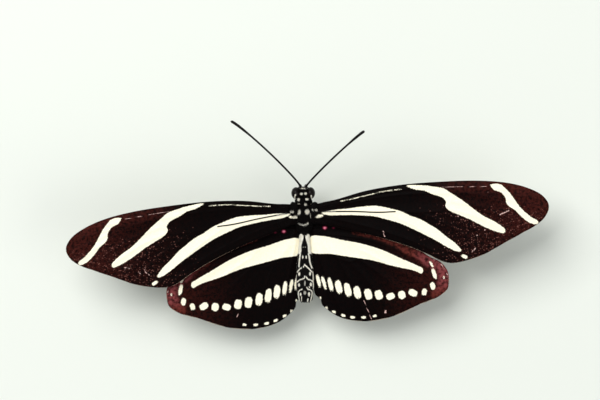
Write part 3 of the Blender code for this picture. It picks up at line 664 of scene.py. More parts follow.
def membrane_rim(pair, lines):
    """The membrane's edge: bare along the front, elsewhere set in for the fringe, scalloped."""
    loop = smooth_line(OUTLINES[pair], True, NET_STEP)
    if np.sum(loop[:-1, 0] * loop[1:, 1] - loop[1:, 0] * loop[:-1, 1]) > 0:
        loop = loop[::-1]
    normal = outward(loop)
    amount = BARE_EDGE + (FRINGE - BARE_EDGE) * smoothstep(0.5, 0.0, normal[:, 1])
    near = nearest(loop[:-1], lines)
    outer = smoothstep(0.25, 0.5, loop[:-1, 0] / loop[:, 0].max())
    outer *= smoothstep(0.3, -0.2, normal[:, 1])
    amount += (SCALLOP if pair == "hind" else 0.4 * SCALLOP) * outer * smoothstep(0.4, 1.3, near)
    moved = loop[:-1] - normal * amount[:, None]
    return respaced(np.vstack([moved, moved[0]]), NET_STEP)


def placed(pair, side, p):
    """Points of the plan as this side holds them, seen from above, out and forward."""
    chord, skew, turn, shift = POSES[pair, side]
    x, y = p[:, 0] + skew * p[:, 1], chord * p[:, 1]
    c, s = math.cos(math.radians(turn)), math.sin(math.radians(turn))
    q = np.column_stack([c * x - s * y, s * x + c * y]) + shift
    at_root = (q[:, 1] > HINGE_BACK) & (q[:, 0] < HINGE_OUT)
    q[:, 0] = np.where(at_root, q[:, 0] - ROOT_PULL * (HINGE_OUT - q[:, 0]), q[:, 0])
    if pair == "hind":
        beside = SIDES[side] * axis_x(q[:, 1]) + skin_half(q[:, 1])[0] - TUCK
        q[:, 0] = np.where(q[:, 1] <= HINGE_BACK, np.maximum(q[:, 0], beside), q[:, 0])
    return q


def sheet_height(pair, side, q):
    """Height of a wing's mid plane at placed points."""
    rise, lead = (math.tan(math.radians(a)) for a in TILT[side])
    z = FORE_ROOT_Z + rise * q[:, 0] + lead * q[:, 1]
    z -= DROOP * q[:, 0] ** 2 + CAMBER * (q[:, 1] - CAMBER_LINE) ** 2
    return z - WING_STACK if pair == "hind" else z


def wing_form(plan, side, p):
    """The membrane's mid points at points of the plan, and how far its faces lie from them."""
    near = nearest(p, plan["lines"])
    edge = depth_inside(p, plan["rim"])
    ridge = VEIN_HEIGHT * 0.5 * (1 + np.cos(math.pi * np.clip(near / VEIN_WIDTH, 0, 1)))
    ridge *= smoothstep(0.0, 0.8, edge)
    sag = SAG * smoothstep(0.0, 1.6, near)
    wave = WAVE * np.sin(p[:, 0] * 1.9 + p[:, 1] * 0.7) * smoothstep(3.0, 0.3, edge)
    q = placed(plan["pair"], side, p)
    z = sheet_height(plan["pair"], side, q) - sag + wave
    half = MEMBRANE / 2 * (0.35 + 0.65 * smoothstep(0.0, 0.5, edge))
    return (np.column_stack([SIDES[side] * q[:, 0], q[:, 1], z]),
            np.column_stack([0 * half, 0 * half, half + ridge]))


def vein_rows(lines, rim, start):
    """Points along every vein and at its feet, and the pairs of them that edges must join."""
    points, edges = [], []
    for line in lines:
        line = line[depth_inside(line, rim) > 0.3]
        ahead = np.gradient(line, axis=0)
        across = np.column_stack([-ahead[:, 1], ahead[:, 0]])
        across /= np.linalg.norm(across, axis=1)[:, None]
        for offset in (0.0, VEIN_FOOT, -VEIN_FOOT):
            last = None
            for p in line + offset * across:
                near = [i for i, q in enumerate(points)
                        if abs(q[0] - p[0]) < JOIN and abs(q[1] - p[1]) < JOIN]
                if near and offset:
                    last = None
                    continue
                index = near[0] if near else len(points)
                if not near:
                    points.append(tuple(p))
                if last is not None and last != index:
                    edges.append((last + start, index + start))
                last = index
    return points, edges


def wing_plan(pair):
    """The net of a wing: its points and triangles, its rim and its vein lines."""
    lines = [smooth_line(route, step=NET_STEP) for route in VEINS[pair].values()]
    rim = membrane_rim(pair, lines)
    rows, edges = vein_rows(lines, rim, len(rim) - 1)
    low, high = rim.min(0), rim.max(0)
    step = NET_STEP * math.sqrt(3) / 2
    r, c = np.meshgrid(np.arange(int((high[1] - low[1]) / step) + 1),
                       np.arange(int((high[0] - low[0]) / NET_STEP) + 2), indexing="ij")
    net = np.column_stack([(low[0] + NET_STEP * (c + 0.5 * (r % 2))).ravel(),
                           (low[1] + step * r).ravel()])
    net += rng.uniform(-0.03, 0.03, net.shape)
    net = net[depth_inside(net, rim) > 0.2]
    points = [*rim[:-1], *rows, *net[nearest(net, lines) > VEIN_ROOM]]
    ring = list(range(len(rim) - 1))[::-1]
    made = delaunay_2d_cdt([Vector(p) for p in points], edges, [ring], 1, 1e-5)
    flat = np.array([(p[0], p[1]) for p in made[0]])
    return {"pair": pair, "flat": flat, "faces": [tuple(f) for f in made[2]], "rim": rim,
            "lines": lines}


def build_wing(plan, side):
    """Upper and lower face from the same net, closed along its open edges."""
    pair, flat = plan["pair"], plan["flat"]
    middle, lift = wing_form(plan, side, flat)
    count = len(flat)
    made, edges = [], set()
    for face in plan["faces"]:
        face = face if SIDES[side] > 0 else face[::-1]
        made.append(face)
        made.append(tuple(i + count for i in face[::-1]))
        edges.update(zip(face, face[1:] + face[:1]))
    made += [(j, i, i + count, j + count) for i, j in sorted(edges) if (j, i) not in edges]
    values = {key: np.r_[v, v] for key, v in pattern(pair, side, flat).items()}
    values["under"] = np.r_[np.zeros(count), np.ones(count)]
    return new_piece(pair + "wing_" + side + "_scales", np.vstack([middle + lift, middle - lift]),
                     made, WING, [f"{pair}wing_{side}"], values,
                     {"wing": np.vstack([flat, flat])})


# %% [markdown]
# ## The body's skin
# Head, collar, thorax and abdomen are one continuous skin, drawn as rounded ovals across the body
# at stations along it. The neck, the groove behind the collar, the narrow waist and the eight
# overlapping rings of the abdomen are all in its profile. Plates and furrows of the back are
# pressed into the upper side.

# %% skin profile
STATIONS = [   # mm forward, half width, half height
    (3.97, 0.08, 0.1), (3.94, 0.5, 0.5), (3.86, 0.84, 0.93), (3.65, 1.0, 1.24), (3.3, 1.02, 1.36),
    (2.9, 1.0, 1.36), (2.5, 0.98, 1.3), (2.2, 0.9, 1.1), (1.98, 0.84, 0.98), (1.8, 1.22, 1.28),
    (1.5, 1.4, 1.45), (1.15, 1.42, 1.45), (0.9, 1.26, 1.3), (0.68, 1.3, 1.43), (0.4, 1.45, 1.72),
    (0.0, 1.52, 1.88), (-0.8, 1.56, 1.95), (-1.8, 1.56, 1.92), (-2.8, 1.48, 1.78),
    (-3.4, 1.32, 1.55), (-3.9, 1.05, 1.22), (-4.2, 0.82, 0.95), (-4.42, 0.74, 0.86),
    (-4.62, 0.82, 0.96),
]
WAIST_HALF, ABDOMEN_HALF = (0.98, 1.15), (1.6, 1.5)
COAT_DEPTH = 0.09
profile = smooth_line(STATIONS, step=0.06)[::-1]


def abdomen_half(y):
    """Half width and half height of the abdomen's skin at stations y."""
    t = np.clip((ABDOMEN_FRONT - y) / (ABDOMEN_FRONT - ABDOMEN_BACK), 0, 1)
    swell = np.sin(math.pi / 2 * np.minimum(1, t / 0.72)) ** 1.6
    taper = 1 - 0.12 * np.clip((t - 0.8) / 0.2, 0, 1) ** 2
    return [(a + (b - a) * swell) * taper for a, b in zip(WAIST_HALF, ABDOMEN_HALF)]


def segment_step(y):
    """Each ring of the abdomen swells backwards and overhangs the next."""
    share = (ABDOMEN_FRONT - y) / (ABDOMEN_FRONT - ABDOMEN_BACK) * SEGMENTS
    share = share - np.floor(share)
    return 0.055 * smoothstep(0.0, 0.75, share) - 0.09 * smoothstep(0.88, 1.0, share)


def skin_half(y):
    """Half width and half height of the skin at stations y."""
    y = np.asarray(y, float)
    front = [np.interp(y, profile[:, 0], profile[:, k]) for k in (1, 2)]
    behind = [h - COAT_DEPTH + segment_step(y) for h in abdomen_half(y)]
    share = smoothstep(-4.55, -4.75, y)
    end = np.sqrt(np.clip(1 - np.clip((ABDOMEN_BACK - 0.35 - y) / 0.95, 0, 1) ** 2, 0.0, 1))
    return [(f + (b - f) * share) * end for f, b in zip(front, behind)]


def skin_points(y, angle):
    """Points of the skin at stations y and angles round the body, 0 right and a quarter up."""
    half_x, half_z = skin_half(y)
    power = 2.25
    c, s = np.cos(angle), np.sin(angle)
    x = half_x * np.sign(c) * np.abs(c) ** (2 / power)
    z = half_z * np.sign(s) * np.abs(s) ** (2 / power)
    top = smoothstep(0.2, 0.9, s)
    furrow = 0.06 * np.exp(-(x / 0.09) ** 2) * smoothstep(0.6, -0.2, y) * smoothstep(-3.2, -2.4, y)
    bent = y + 3.0 - 0.45 * np.abs(x)
    groove = 0.09 * np.exp(-(bent / 0.12) ** 2)
    side_furrow = 0.05 * np.exp(-((np.abs(x) - 0.95) / 0.1) ** 2)
    side_furrow *= smoothstep(0.3, -0.4, y) * smoothstep(-2.8, -2.2, y)
    vertex = 0.07 * np.exp(-(x / 0.12) ** 2 - ((y - 2.95) / 0.45) ** 2)
    z = z - top * (furrow + groove + side_furrow + vertex)
    return np.column_stack([axis_x(y) + x, y, axis_z(y) + z])


# %% [markdown]
# ## The body's markings
# White scales sit in fixed places: pairs of spots on the face, crown, collar and thorax, a thin
# crescent before the thorax's hind plate, and on the abdomen a pale root, arcs across the rings, a
# line down each side and stripes at the tail. Spots and strokes are given as seen from above. The
# side line and the pale underside are given by how high up the side a point lies. Skin and hair
# both ask this one function.

# %% body markings
BODY_SPOTS = [   # centre, half width and half length
    ((-1.12, 3.29), (0.15, 0.14)), ((0.91, 3.22), (0.1, 0.09)), ((-0.46, 2.74), (0.27, 0.2)),
    ((0.26, 2.79), (0.24, 0.25)), ((1.3, 2.38), (0.16, 0.2)), ((-0.95, 1.68), (0.24, 0.3)),
    ((0.5, 1.73), (0.3, 0.22)), ((-0.9, 0.86), (0.24, 0.2)), ((0.28, 0.81), (0.27, 0.25)),
    ((-1.77, 0.71), (0.2, 0.2)), ((1.27, 0.9), (0.17, 0.13)), ((-0.9, -0.54), (0.36, 0.42)),
    ((0.55, -0.49), (0.4, 0.43)), ((-1.6, -1.36), (0.19, 0.46)), ((1.27, -1.12), (0.22, 0.53)),
    ((-0.5, -5.0), (0.32, 0.5)), ((0.78, -5.0), (0.34, 0.5)), ((-0.22, -8.66), (0.13, 0.3)),
    ((0.4, -8.66), (0.13, 0.28)), ((-0.85, -11.71), (0.19, 0.36)), ((1.08, -11.66), (0.17, 0.36)),
    ((-0.88, -13.69), (0.19, 0.3)), ((1.22, -13.59), (0.2, 0.34)), ((0.96, -14.07), (0.1, 0.14)),
    ((-0.61, -15.4), (0.16, 0.31)), ((0.91, -15.37), (0.2, 0.42)),
]
FAINT_SPOTS = [   # half as pale as the others
    ((0.16, -13.4), (0.13, 0.4)), ((0.16, -15.1), (0.22, 0.32)),
    ((-0.13, -6.87), (0.08, 0.08)), ((0.26, -6.87), (0.08, 0.08)),
]
BODY_STROKES = [   # half width, line
    (0.09, [(-0.76, 3.7), (-0.13, 3.7)]), (0.08, [(0.1, 3.68), (0.52, 3.69)]),
    (0.12, [(-1.53, 2.66), (-1.67, 2.2), (-1.75, 1.65)]), (0.06, [(1.3, 2.3), (1.42, 1.75)]),
    (0.1, [(-1.0, -2.58), (-0.51, -2.82), (-0.03, -2.86), (0.4, -2.74), (0.69, -2.53)]),
    (0.12, [(-0.66, -8.1), (-0.72, -8.5), (-0.85, -9.6), (-0.9, -10.4)]),
    (0.13, [(0.8, -8.1), (0.95, -8.6), (1.0, -9.3), (1.12, -9.8), (1.41, -10.6)]),
    (0.1, [(-1.19, -11.42), (-0.9, -10.94), (-0.47, -10.6)]),
    (0.09, [(-0.1, -10.45), (0.11, -10.02)]),
    (0.11, [(0.11, -10.02), (0.74, -10.6), (1.41, -11.32), (1.66, -11.5)]),
    (0.1, [(-1.19, -13.16), (-0.7, -12.72), (-0.03, -12.53), (0.16, -12.1)]),
    (0.11, [(0.4, -12.24), (0.74, -12.67), (1.22, -12.82), (1.56, -13.1)]),
    (0.09, [(-0.32, -14.46), (-0.85, -14.7), (-1.03, -15.05), (-0.98, -15.6), (-0.79, -16.6)]),
    (0.1, [(0.5, -14.12), (0.64, -14.41), (1.22, -14.6), (1.46, -14.9), (1.42, -15.5),
           (1.17, -16.6)]),
    (0.07, [(-0.43, -15.8), (-0.43, -16.6)]), (0.12, [(0.7, -16.2), (0.66, -16.6)]),
    (0.1, [(1.62, -11.5), (1.68, -14.4)]), (0.12, [(-1.4, -11.95), (-1.55, -14.1)]),
]


def body_marks(p):
    """Depth in mm inside the pale markings at points of the body, positive inside."""
    seen = p[:, :2]
    y = p[:, 1]
    half_z = skin_half(y)[1]
    up = (p[:, 2] - axis_z(y)) / np.maximum(half_z, 0.05)
    cream = np.maximum(deepest(seen, BODY_SPOTS), stroke_depth(seen, BODY_STROKES))
    cream = np.maximum(cream, np.minimum(deepest(seen, FAINT_SPOTS), 0.0))
    black = np.interp(y, (-8.3, -7.6, -6.7, -6.1, -5.2), (0.8, 0.58, 0.58, 0.43, 0.17))
    base = np.minimum(np.abs(p[:, 0] - axis_x(y)) - black, np.minimum(-4.75 - y, y + 8.1))
    cream = np.where(up > 0.1, np.maximum(cream, base), OUTSIDE)
    flank = 0.15 + 0.35 * smoothstep(-8.4, -7.2, y) - np.abs(up + 0.05) * half_z
    belly = (-0.62 - up) * half_z
    abdomen = smoothstep(-4.6, -5.4, y)
    lower = np.where((y < -4.7) & (y > ABDOMEN_BACK), np.maximum(flank, belly), OUTSIDE)
    lower = lower * abdomen + OUTSIDE * (1 - abdomen)
    chest = np.where((y > -3.6) & (y < 0.6), 0.12 - np.abs(up + 0.35) * half_z, OUTSIDE)
    return np.maximum(cream, np.maximum(lower, chest))


# %% skin mesh
def build_skin():
    stations = np.r_[np.arange(3.965, -4.7, -0.055), np.arange(-4.7, ABDOMEN_BACK - 1.28, -0.045)]
    around = 128
    angle = np.linspace(0, 2 * math.pi, around, endpoint=False)
    y = np.repeat(stations, around)
    a = np.tile(angle, len(stations))
    points = skin_points(y, a)
    tips = np.array([[axis_x(stations[0]), stations[0], axis_z(stations[0])],
                     [axis_x(stations[-1]), stations[-1], axis_z(stations[-1])]])
    faces = grid_faces(len(stations), around, flip=True)
    first, last, total = 0, (len(stations) - 1) * around, len(points)
    for c in range(around):
        d = (c + 1) % around
        faces.append((total, first + c, first + d))
        faces.append((total + 1, last + d, last + c))
    points = np.vstack([points, tips])
    return new_piece("body_skin", points, faces, SKIN,
                     ["head", "collar", "thorax", "abdomen"], {"cream": body_marks(points)})


build_skin()

# %% four wings
PLANS = {pair: wing_plan(pair) for pair in OUTLINES}
for pair, plan in PLANS.items():
    print(pair, "wing's net:", len(plan["flat"]), "points")
    for side in SIDES:
        build_wing(plan, side)

# %% [markdown]
# ## Eyes
# A longwing's compound eye is a tall oval ball with thousands of hexagonal lenses. A geodesic ball
# has its points spaced almost evenly, and nearly all the cells round those points are hexagons,
# so each lens is one such cell with its middle raised. Real lenses are about 0.025 mm across. They
# are drawn at 0.07 mm here, so that they can be seen.

# %% eyes
EYE_HALF = (0.82, 1.06, 1.25)
EYE_OUT, EYE_FORWARD = 1.31, 2.86
LENS_DEPTH = 0.02   # as a share of the eye's size


def eye_centre(side):
    return np.array([SIDES[side] * EYE_OUT + float(axis_x(EYE_FORWARD)), EYE_FORWARD,
                     THORAX_Z + 0.1])


def ring_angle(centre, p):
    """The angle of p about centre, seen from outside the ball."""
    across = centre.orthogonal().normalized()
    up = centre.cross(across).normalized()
    return math.atan2((p - centre).dot(up), (p - centre).dot(across))


def build_eye(side):
    """A ball with a lens round each point of a geodesic net."""
    bm = bmesh.new()
    bmesh.ops.create_icosphere(bm, subdivisions=5, radius=1.0)
    bm.normal_update()
    centres = [f.calc_center_median().normalized() for f in bm.faces]
    points, faces = [np.array(c) for c in centres], []
    for v in bm.verts:
        round_v = sorted(v.link_faces, key=lambda f: ring_angle(v.co, f.calc_center_median()))
        middle = len(points)
        points.append(np.array(v.co) * (1 + LENS_DEPTH))
        ring = [f.index for f in round_v]
        for i, j in zip(ring, ring[1:] + ring[:1]):
            faces.append((middle, i, j))
    bm.free()
    points = np.array(points) * EYE_HALF + eye_centre(side)
    return new_piece("compound_eye_" + side, points, faces, EYE, ["eye_" + side])


for side in SIDES:
    build_eye(side)

# %% [markdown]
# ## Feelers, palps and tongue
# Feelers are chains of about forty rings that end in a slim club. Two scaly palps curve up before
# the face, and between them the tongue, a pair of ringed half-tubes zipped together, lies coiled
# like a watch spring.

# %% feelers
FEELER_BASE = (0.52, 3.95)
FEELERS = {"right": (10.36, 9.81, 12.38), "left": (12.45, 11.66, 6.83)}   # out, forward and up
FEELER_BOW = {"right": (0.42, 0.45), "left": (0.7, 0.45)}   # depth and roundness
FEELER_RINGS = 42
HEAD_HEIGHT = 1.45


def build_feeler(side):
    """A gently bowed chain of rings that swells to a club near its end."""
    sign = SIDES[side]
    across, ahead, rise = FEELERS[side]
    base = np.array([sign * FEELER_BASE[0] + float(axis_x(FEELER_BASE[1])), FEELER_BASE[1],
                     THORAX_Z + HEAD_HEIGHT * 0.8 + 0.4])
    reach = np.array([sign * across, ahead, rise])
    out = reach / np.linalg.norm(reach)
    bow = np.cross((0, 0, sign), out)
    depth, roundness = FEELER_BOW[side]
    bow *= depth / np.linalg.norm(bow)
    t = np.linspace(0, 1, FEELER_RINGS * 6 + 1)
    arch = np.clip(np.sin(math.pi * t), 0, 1) ** roundness
    path = base + t[:, None] * reach + arch[:, None] * bow
    root = base + (0, -0.3, -0.75)
    path = np.vstack([root, (root + base) / 2, path])
    club = np.clip((t - 0.72) / 0.28, 0, 1)
    radius = 0.18 + 0.08 * np.sin(math.pi * np.minimum(1, club * 0.62)) ** 1.5
    radius *= np.where(t > 0.985, 1 - ((t - 0.985) / 0.015) ** 2 * 0.8, 1)
    radius += 0.05 * np.exp(-((t - 0.012) / 0.012) ** 2)
    ring = (t * FEELER_RINGS) % 1.0
    radius *= 1 - 0.14 * smoothstep(0.65, 0.95, ring) * (ring < 0.98)
    radius = np.r_[0.2, 0.24, radius]
    points, faces = tube(path, radius, 14, np.cross(out, bow))
    return new_piece("feeler_" + side, points, faces, CUTICLE, ["antenna_" + side])


for side in SIDES:
    build_feeler(side)

# %% palps and tongue
HEAD_FRONT = 3.95
PALP_OUT, PALP_HALF = 0.5, 0.3
COIL_TURNS, COIL_INNER, COIL_OUTER = 1.6, 0.34, 1.2
CHIN = THORAX_Z - HEAD_HEIGHT


def build_palp(side):
    """Three joints that curve up before the face, with a pale line along the outside."""
    bends = [(HEAD_FRONT - 1.15, CHIN - 0.3), (HEAD_FRONT - 0.45, CHIN - 0.4),
             (HEAD_FRONT + 0.12, CHIN + 0.1), (HEAD_FRONT + 0.28, CHIN + 0.85),
             (HEAD_FRONT + 0.36, CHIN + 1.6)]
    line = smooth_line(bends, step=0.06)
    x = SIDES[side] * PALP_OUT + float(axis_x(HEAD_FRONT))
    path = np.column_stack([np.full(len(line), x), line])
    t = np.linspace(0, 1, len(line))
    radius = PALP_HALF * 0.85 * (0.75 + 0.9 * t - 1.2 * t**2.5) * np.sqrt(np.clip(
        1 - np.clip((t - 0.93) / 0.07, 0, 1) ** 2, 0.04, 1))
    radius *= 1 - 0.2 * np.exp(-((t - 0.36) / 0.02) ** 2) - 0.2 * np.exp(-((t - 0.78) / 0.02) ** 2)
    points, faces = tube(path, radius, 20, (1, 0, 0))
    return new_piece("palp_skin_" + side, points, faces, SKIN,
                     ["palp_" + side], {"cream": -np.abs(points[:, 0] - x - SIDES[side] * 0.2)})


def build_tongue():
    centre = np.array([float(axis_x(3.0)), HEAD_FRONT - 1.15, CHIN - 0.35 - COIL_OUTER])
    t = np.linspace(0, 1, 420)
    a = math.pi / 2 - 2 * math.pi * COIL_TURNS * t
    r = COIL_OUTER + (COIL_INNER - COIL_OUTER) * t
    path = centre + np.column_stack([np.zeros(len(t)), r * np.cos(a), r * np.sin(a)])
    root = np.array([centre[0], centre[1] - 0.1, CHIN + 0.15])
    path = np.vstack([root, (root + path[0]) / 2 + (0, -0.03, 0), path])
    radius = 0.17 * (1 - 0.45 * t) * (1 + 0.06 * np.sin(t * 2 * math.pi * 90))
    radius = np.r_[0.2, 0.18, radius]
    points, faces = tube(path, radius, 14, (1, 0, 0))
    return new_piece("tongue", points, faces, CUTICLE, ["proboscis"])


for side in SIDES:
    build_palp(side)
build_tongue()

# %% [markdown]
# ## Legs
# Only the middle and hind legs walk. A brush-footed butterfly folds its short front pair against
# the chest. Each walking leg has a stout thigh, a slimmer shin with two spurs, and a foot of five
# little joints with a pair of claws.

# %% legs
WALKING_LEGS = {   # hip, heading in degrees, and how far out and how high each joint is
    "mid": ((0.75, -0.9), -8.0, [(3.4, 6.9), (6.0, 0.75), (6.6, None), (8.6, None)]),
    "hind": ((0.7, -3.3), -58.0, [(3.9, 6.7), (7.3, 0.75), (8.0, None), (10.4, None)]),
}
FORE_LEG = [(0.7, 0.2, 6.0), (0.7, 1.5, 5.3), (0.7, 0.1, 4.7), (0.7, -1.1, 5.0)]
FOOT_Z, CLEARANCE = 0.13, 0.005   # a foot's middle, and the least height over the floor
TOE_JOINTS = [0.0, 0.42, 0.6, 0.75, 0.87, 1.0]   # as shares of the foot's length


def dome(centre, half, rows, around):
    """An oval ball of quads about centre."""
    v = np.linspace(-math.pi / 2, math.pi / 2, rows)
    a = np.linspace(0, 2 * math.pi, around, endpoint=False)
    c = np.cos(v)[:, None]
    ball = np.stack([c * np.cos(a), c * np.sin(a), np.repeat(np.sin(v)[:, None], around, 1)], -1)
    return ball.reshape(-1, 3) * half + centre, grid_faces(rows, around)


def joined(parts):
    """Several (points, faces) as one."""
    points, faces, start = [], [], 0
    for p, f in parts:
        points.append(p)
        faces += [tuple(i + start for i in face) for face in f]
        start += len(p)
    return np.vstack(points), faces


def limb(start, end, widths, normal, sides=14, bulge=0.0):
    """One segment of a limb between two joints, with rounded ends."""
    t = np.linspace(0, 1, 26)
    path = start + t[:, None] * (end - start)
    radius = np.interp(t, np.linspace(0, 1, len(widths)), widths) * (
        1 + bulge * np.sin(math.pi * t))
    length = np.linalg.norm(end - start)
    cap = np.minimum(t, 1 - t) * length / np.maximum(radius, 1e-6)
    radius *= np.sqrt(np.clip(1 - np.clip(1 - cap, 0, 1) ** 2, 0.02, 1))
    return tube(path, radius, sides, normal)


def spike(start, way, length, radius):
    """A short straight or curved spine."""
    way = np.asarray(way, float) / np.linalg.norm(way)
    side = np.cross(way, (0.3, 0.2, 0.9))
    t = np.linspace(0, 1, 6)
    path = start + t[:, None] * way * length
    return tube(path, radius * (1 - t * 0.93), 6, side)


def build_leg(name, side):
    """Hip, thigh, spined shin, five toe joints and two claws."""
    (x, y), heading, bends = WALKING_LEGS[name]
    sign = SIDES[side]
    heading = math.radians(heading)
    out = np.array([sign * math.cos(heading), math.sin(heading), 0])
    normal = np.cross((0, 0, 1), out)
    hip = np.array([sign * x, y, THORAX_Z - float(skin_half(y)[1]) * 0.86])
    below_hip = np.array([sign * x, y, 0.0])
    knots = [below_hip + out * d + (0, 0, FOOT_Z if z is None else z) for d, z in bends]
    coxa = hip + out * 0.55 + (0, 0, -0.45)
    parts = [limb(hip, coxa, (0.34, 0.3), normal, bulge=0.15),
             limb(coxa, coxa + (knots[0] - coxa) * 0.1, (0.22, 0.2), normal, bulge=0.1),
             limb(coxa + (knots[0] - coxa) * 0.07, knots[0], (0.17, 0.2, 0.2, 0.17, 0.15), normal),
             limb(knots[0], knots[1], (0.15, 0.14, 0.13, 0.13, 0.14), normal)]
    shin = (knots[1] - knots[0]) / np.linalg.norm(knots[1] - knots[0])
    parts += [dome(at, (size,) * 3, 10, 12) for at, size in (
        (coxa, 0.24), (knots[0], 0.155), (knots[1], 0.13))]
    for s in (-1, 1):
        parts.append(spike(knots[1] - shin * 0.15, shin + 0.5 * s * normal + 0.3 * out, 0.5, 0.045))
    for i in range(9):
        at = knots[0] + (knots[1] - knots[0]) * (0.12 + 0.09 * i)
        back = np.cross(shin, normal) * (1 if i % 2 else -1)
        parts.append(spike(at, shin * 0.8 + back * 0.45, 0.3, 0.025))
    line = smooth_line(knots[1:], step=0.02)
    for i, (a, b) in enumerate(zip(TOE_JOINTS, TOE_JOINTS[1:])):
        piece = line[int(a * (len(line) - 1)):int(b * (len(line) - 1)) + 1]
        t = np.linspace(0, 1, len(piece))
        radius = (0.115 - 0.006 * i) * (0.85 + 0.2 * t)
        radius *= np.sqrt(np.clip(1 - np.abs(2 * t - 1) ** 8, 0.25, 1))
        parts.append(tube(piece, radius, 12, normal))
        parts.append(spike(piece[-1], out * 0.7 + (0, 0, -0.25), 0.14, 0.02))
    for s in (-1, 1):
        t = np.linspace(0, 1, 9)
        bend = knots[3] + np.outer(0.26 * np.sin(t * 1.5), out) + np.outer(
            s * 0.1 * np.sin(t * math.pi * 0.6), normal)
        bend[:, 2] += 0.02 - 0.12 * t**2
        parts.append(tube(bend, 0.045 * (1 - 0.85 * t), 6, (0, 0, 1)))
    points, faces = joined(parts)
    points[:, 2] = np.maximum(points[:, 2], CLEARANCE)
    return new_piece(f"{name}_leg_joints_{side}", points, faces, CUTICLE,
                     [f"{name}_leg_{side}"])


def build_fore_leg(side):
    """The short leg that lies folded under the chest."""
    sign = SIDES[side]
    knots = [np.array([sign * x, y, z]) for x, y, z in FORE_LEG]
    hip = knots[0] + (0, 0, 0.75)
    normal = (1, 0, 0)
    parts = [limb(hip, knots[0] + (0, 0.1, 0), (0.3, 0.26), normal, bulge=0.1),
             limb(knots[0], knots[1], (0.17, 0.2, 0.16), normal),
             limb(knots[1], knots[2], (0.15, 0.16, 0.13), normal),
             limb(knots[2], knots[3], (0.12, 0.11, 0.08), normal)]
    points, faces = joined(parts)
    return new_piece("fore_leg_joints_" + side, points, faces, CUTICLE,
                     ["fore_leg_" + side])


for side in SIDES:
    for name in WALKING_LEGS:
        build_leg(name, side)
    build_fore_leg(side)

# %% [markdown]
# ## Tegulae and tail valves
# A tegula is a small domed plate that covers the hinge of each forewing. The male's abdomen ends
# in a pair of leaf-shaped valves, which are dark with pale edges here.

# %% small plates
TEGULA_PLACE, TEGULA_HALF = (1.85, 0.1), (0.68, 1.2, 0.42)
TEGULA_MARKS = {
    "right": [((2.09, 0.0), (0.3, 0.14)), ((1.51, -0.11), (0.13, 0.15))],
    "left": [((-2.39, -0.35), (0.3, 0.16)), ((-1.91, -0.35), (0.12, 0.18))],
}
VALVE_OUT = 0.76


def build_tegula(side):
    """A drooping shell from the shoulder over the root of the forewing's front edge."""
    sign = SIDES[side]
    u, y = TEGULA_PLACE
    z = float(sheet_height("fore", side, np.array([[u, y]]))[0]) + 0.42
    points, faces = dome((0, 0, 0), TEGULA_HALF, 24, 36)
    share, along = points[:, 0] / TEGULA_HALF[0], points[:, 1] / TEGULA_HALF[1]
    points[:, 2] += -0.22 * share - 0.16 * share**2 - 0.08 * along**2
    points[:, 0] += 0.1 * along**2
    points = points * (sign, 1, 1) + (sign * u, y, z)
    faces = faces if sign > 0 else [f[::-1] for f in faces]
    cream = deepest(points[:, :2], TEGULA_MARKS[side])
    return new_piece("tegula_plate_" + side, points, faces, SKIN,
                     ["tegula_" + side], {"cream": cream})


def build_valve(side):
    """A flat leaf on edge beside the tip of the abdomen."""
    sign = SIDES[side]
    t = np.linspace(0, 1, 22)
    y = ABDOMEN_BACK + 0.25 - 1.58 * t
    path = np.column_stack([axis_x(y) + sign * (VALVE_OUT - 0.08 * t**2), y, axis_z(y)])
    width = np.interp(t, (0, 0.2, 0.45, 0.75, 0.93, 1.0), (0.2, 0.3, 0.34, 0.28, 0.14, 0.03))
    a = np.linspace(0, 2 * math.pi, 20, endpoint=False)
    ring = np.stack([np.cos(a)[None] * width[:, None], 0 * a[None] + 0 * width[:, None],
                     np.sin(a)[None] * width[:, None] * 1.7], -1)
    points = (path[:, None] + ring).reshape(-1, 3)
    faces = grid_faces(len(t), 20, flip=True)
    cream = 0.3 * (np.abs(np.cos(a)) - 0.9)
    return new_piece("valve_" + side, points, faces, SKIN,
                     ["clasper_" + side], {"cream": np.tile(cream, len(t))})


for side in SIDES:
    build_tegula(side)
    build_valve(side)

# %% [markdown]
# ## Hair and scales of the coat
# The body of a longwing is clothed in hair-like scales: short and dense on the back and collar,
# shorter on the crown and face, and on the abdomen broad flat scales that lie like tiles. Every
# tuft here is a small closed blade that follows the lie of the coat. It takes its colour from the
# markings where it lies, and it has its own small patch on the baking map, set by where its root
# is. Places on the body and the wings come from an even sequence, so that no bald patches or
# clumps form.

# %% tufts
UP = (0.0, 0.0, 1.0)
BAKE_PATCH = 0.0015   # half the size of a tuft's patch on the baking map
BLADE_FACES = [(0, 2, 1), (0, 1, 4, 3), (1, 2, 5, 4), (2, 0, 3, 5), (3, 4, 6), (4, 5, 6), (5, 3, 6)]
BLADE_MAP = BAKE_PATCH * np.array(
    [(-1, -1), (1, -1), (0, -1), (-0.8, 0), (0.8, 0), (0, 0), (0, 1)])


def repeated(vector, count):
    """One vector for each of count tufts."""
    return np.tile(np.asarray(vector, float), (count, 1))


def unit(v):
    return v / np.maximum(np.linalg.norm(v, axis=1), 1e-9)[:, None]


def along_skin(way, normal, stray):
    """Directions laid into the surface, each turned a little at random."""
    way = way + rng.normal(0, stray, way.shape)
    return unit(way - np.sum(way * normal, axis=1)[:, None] * normal)


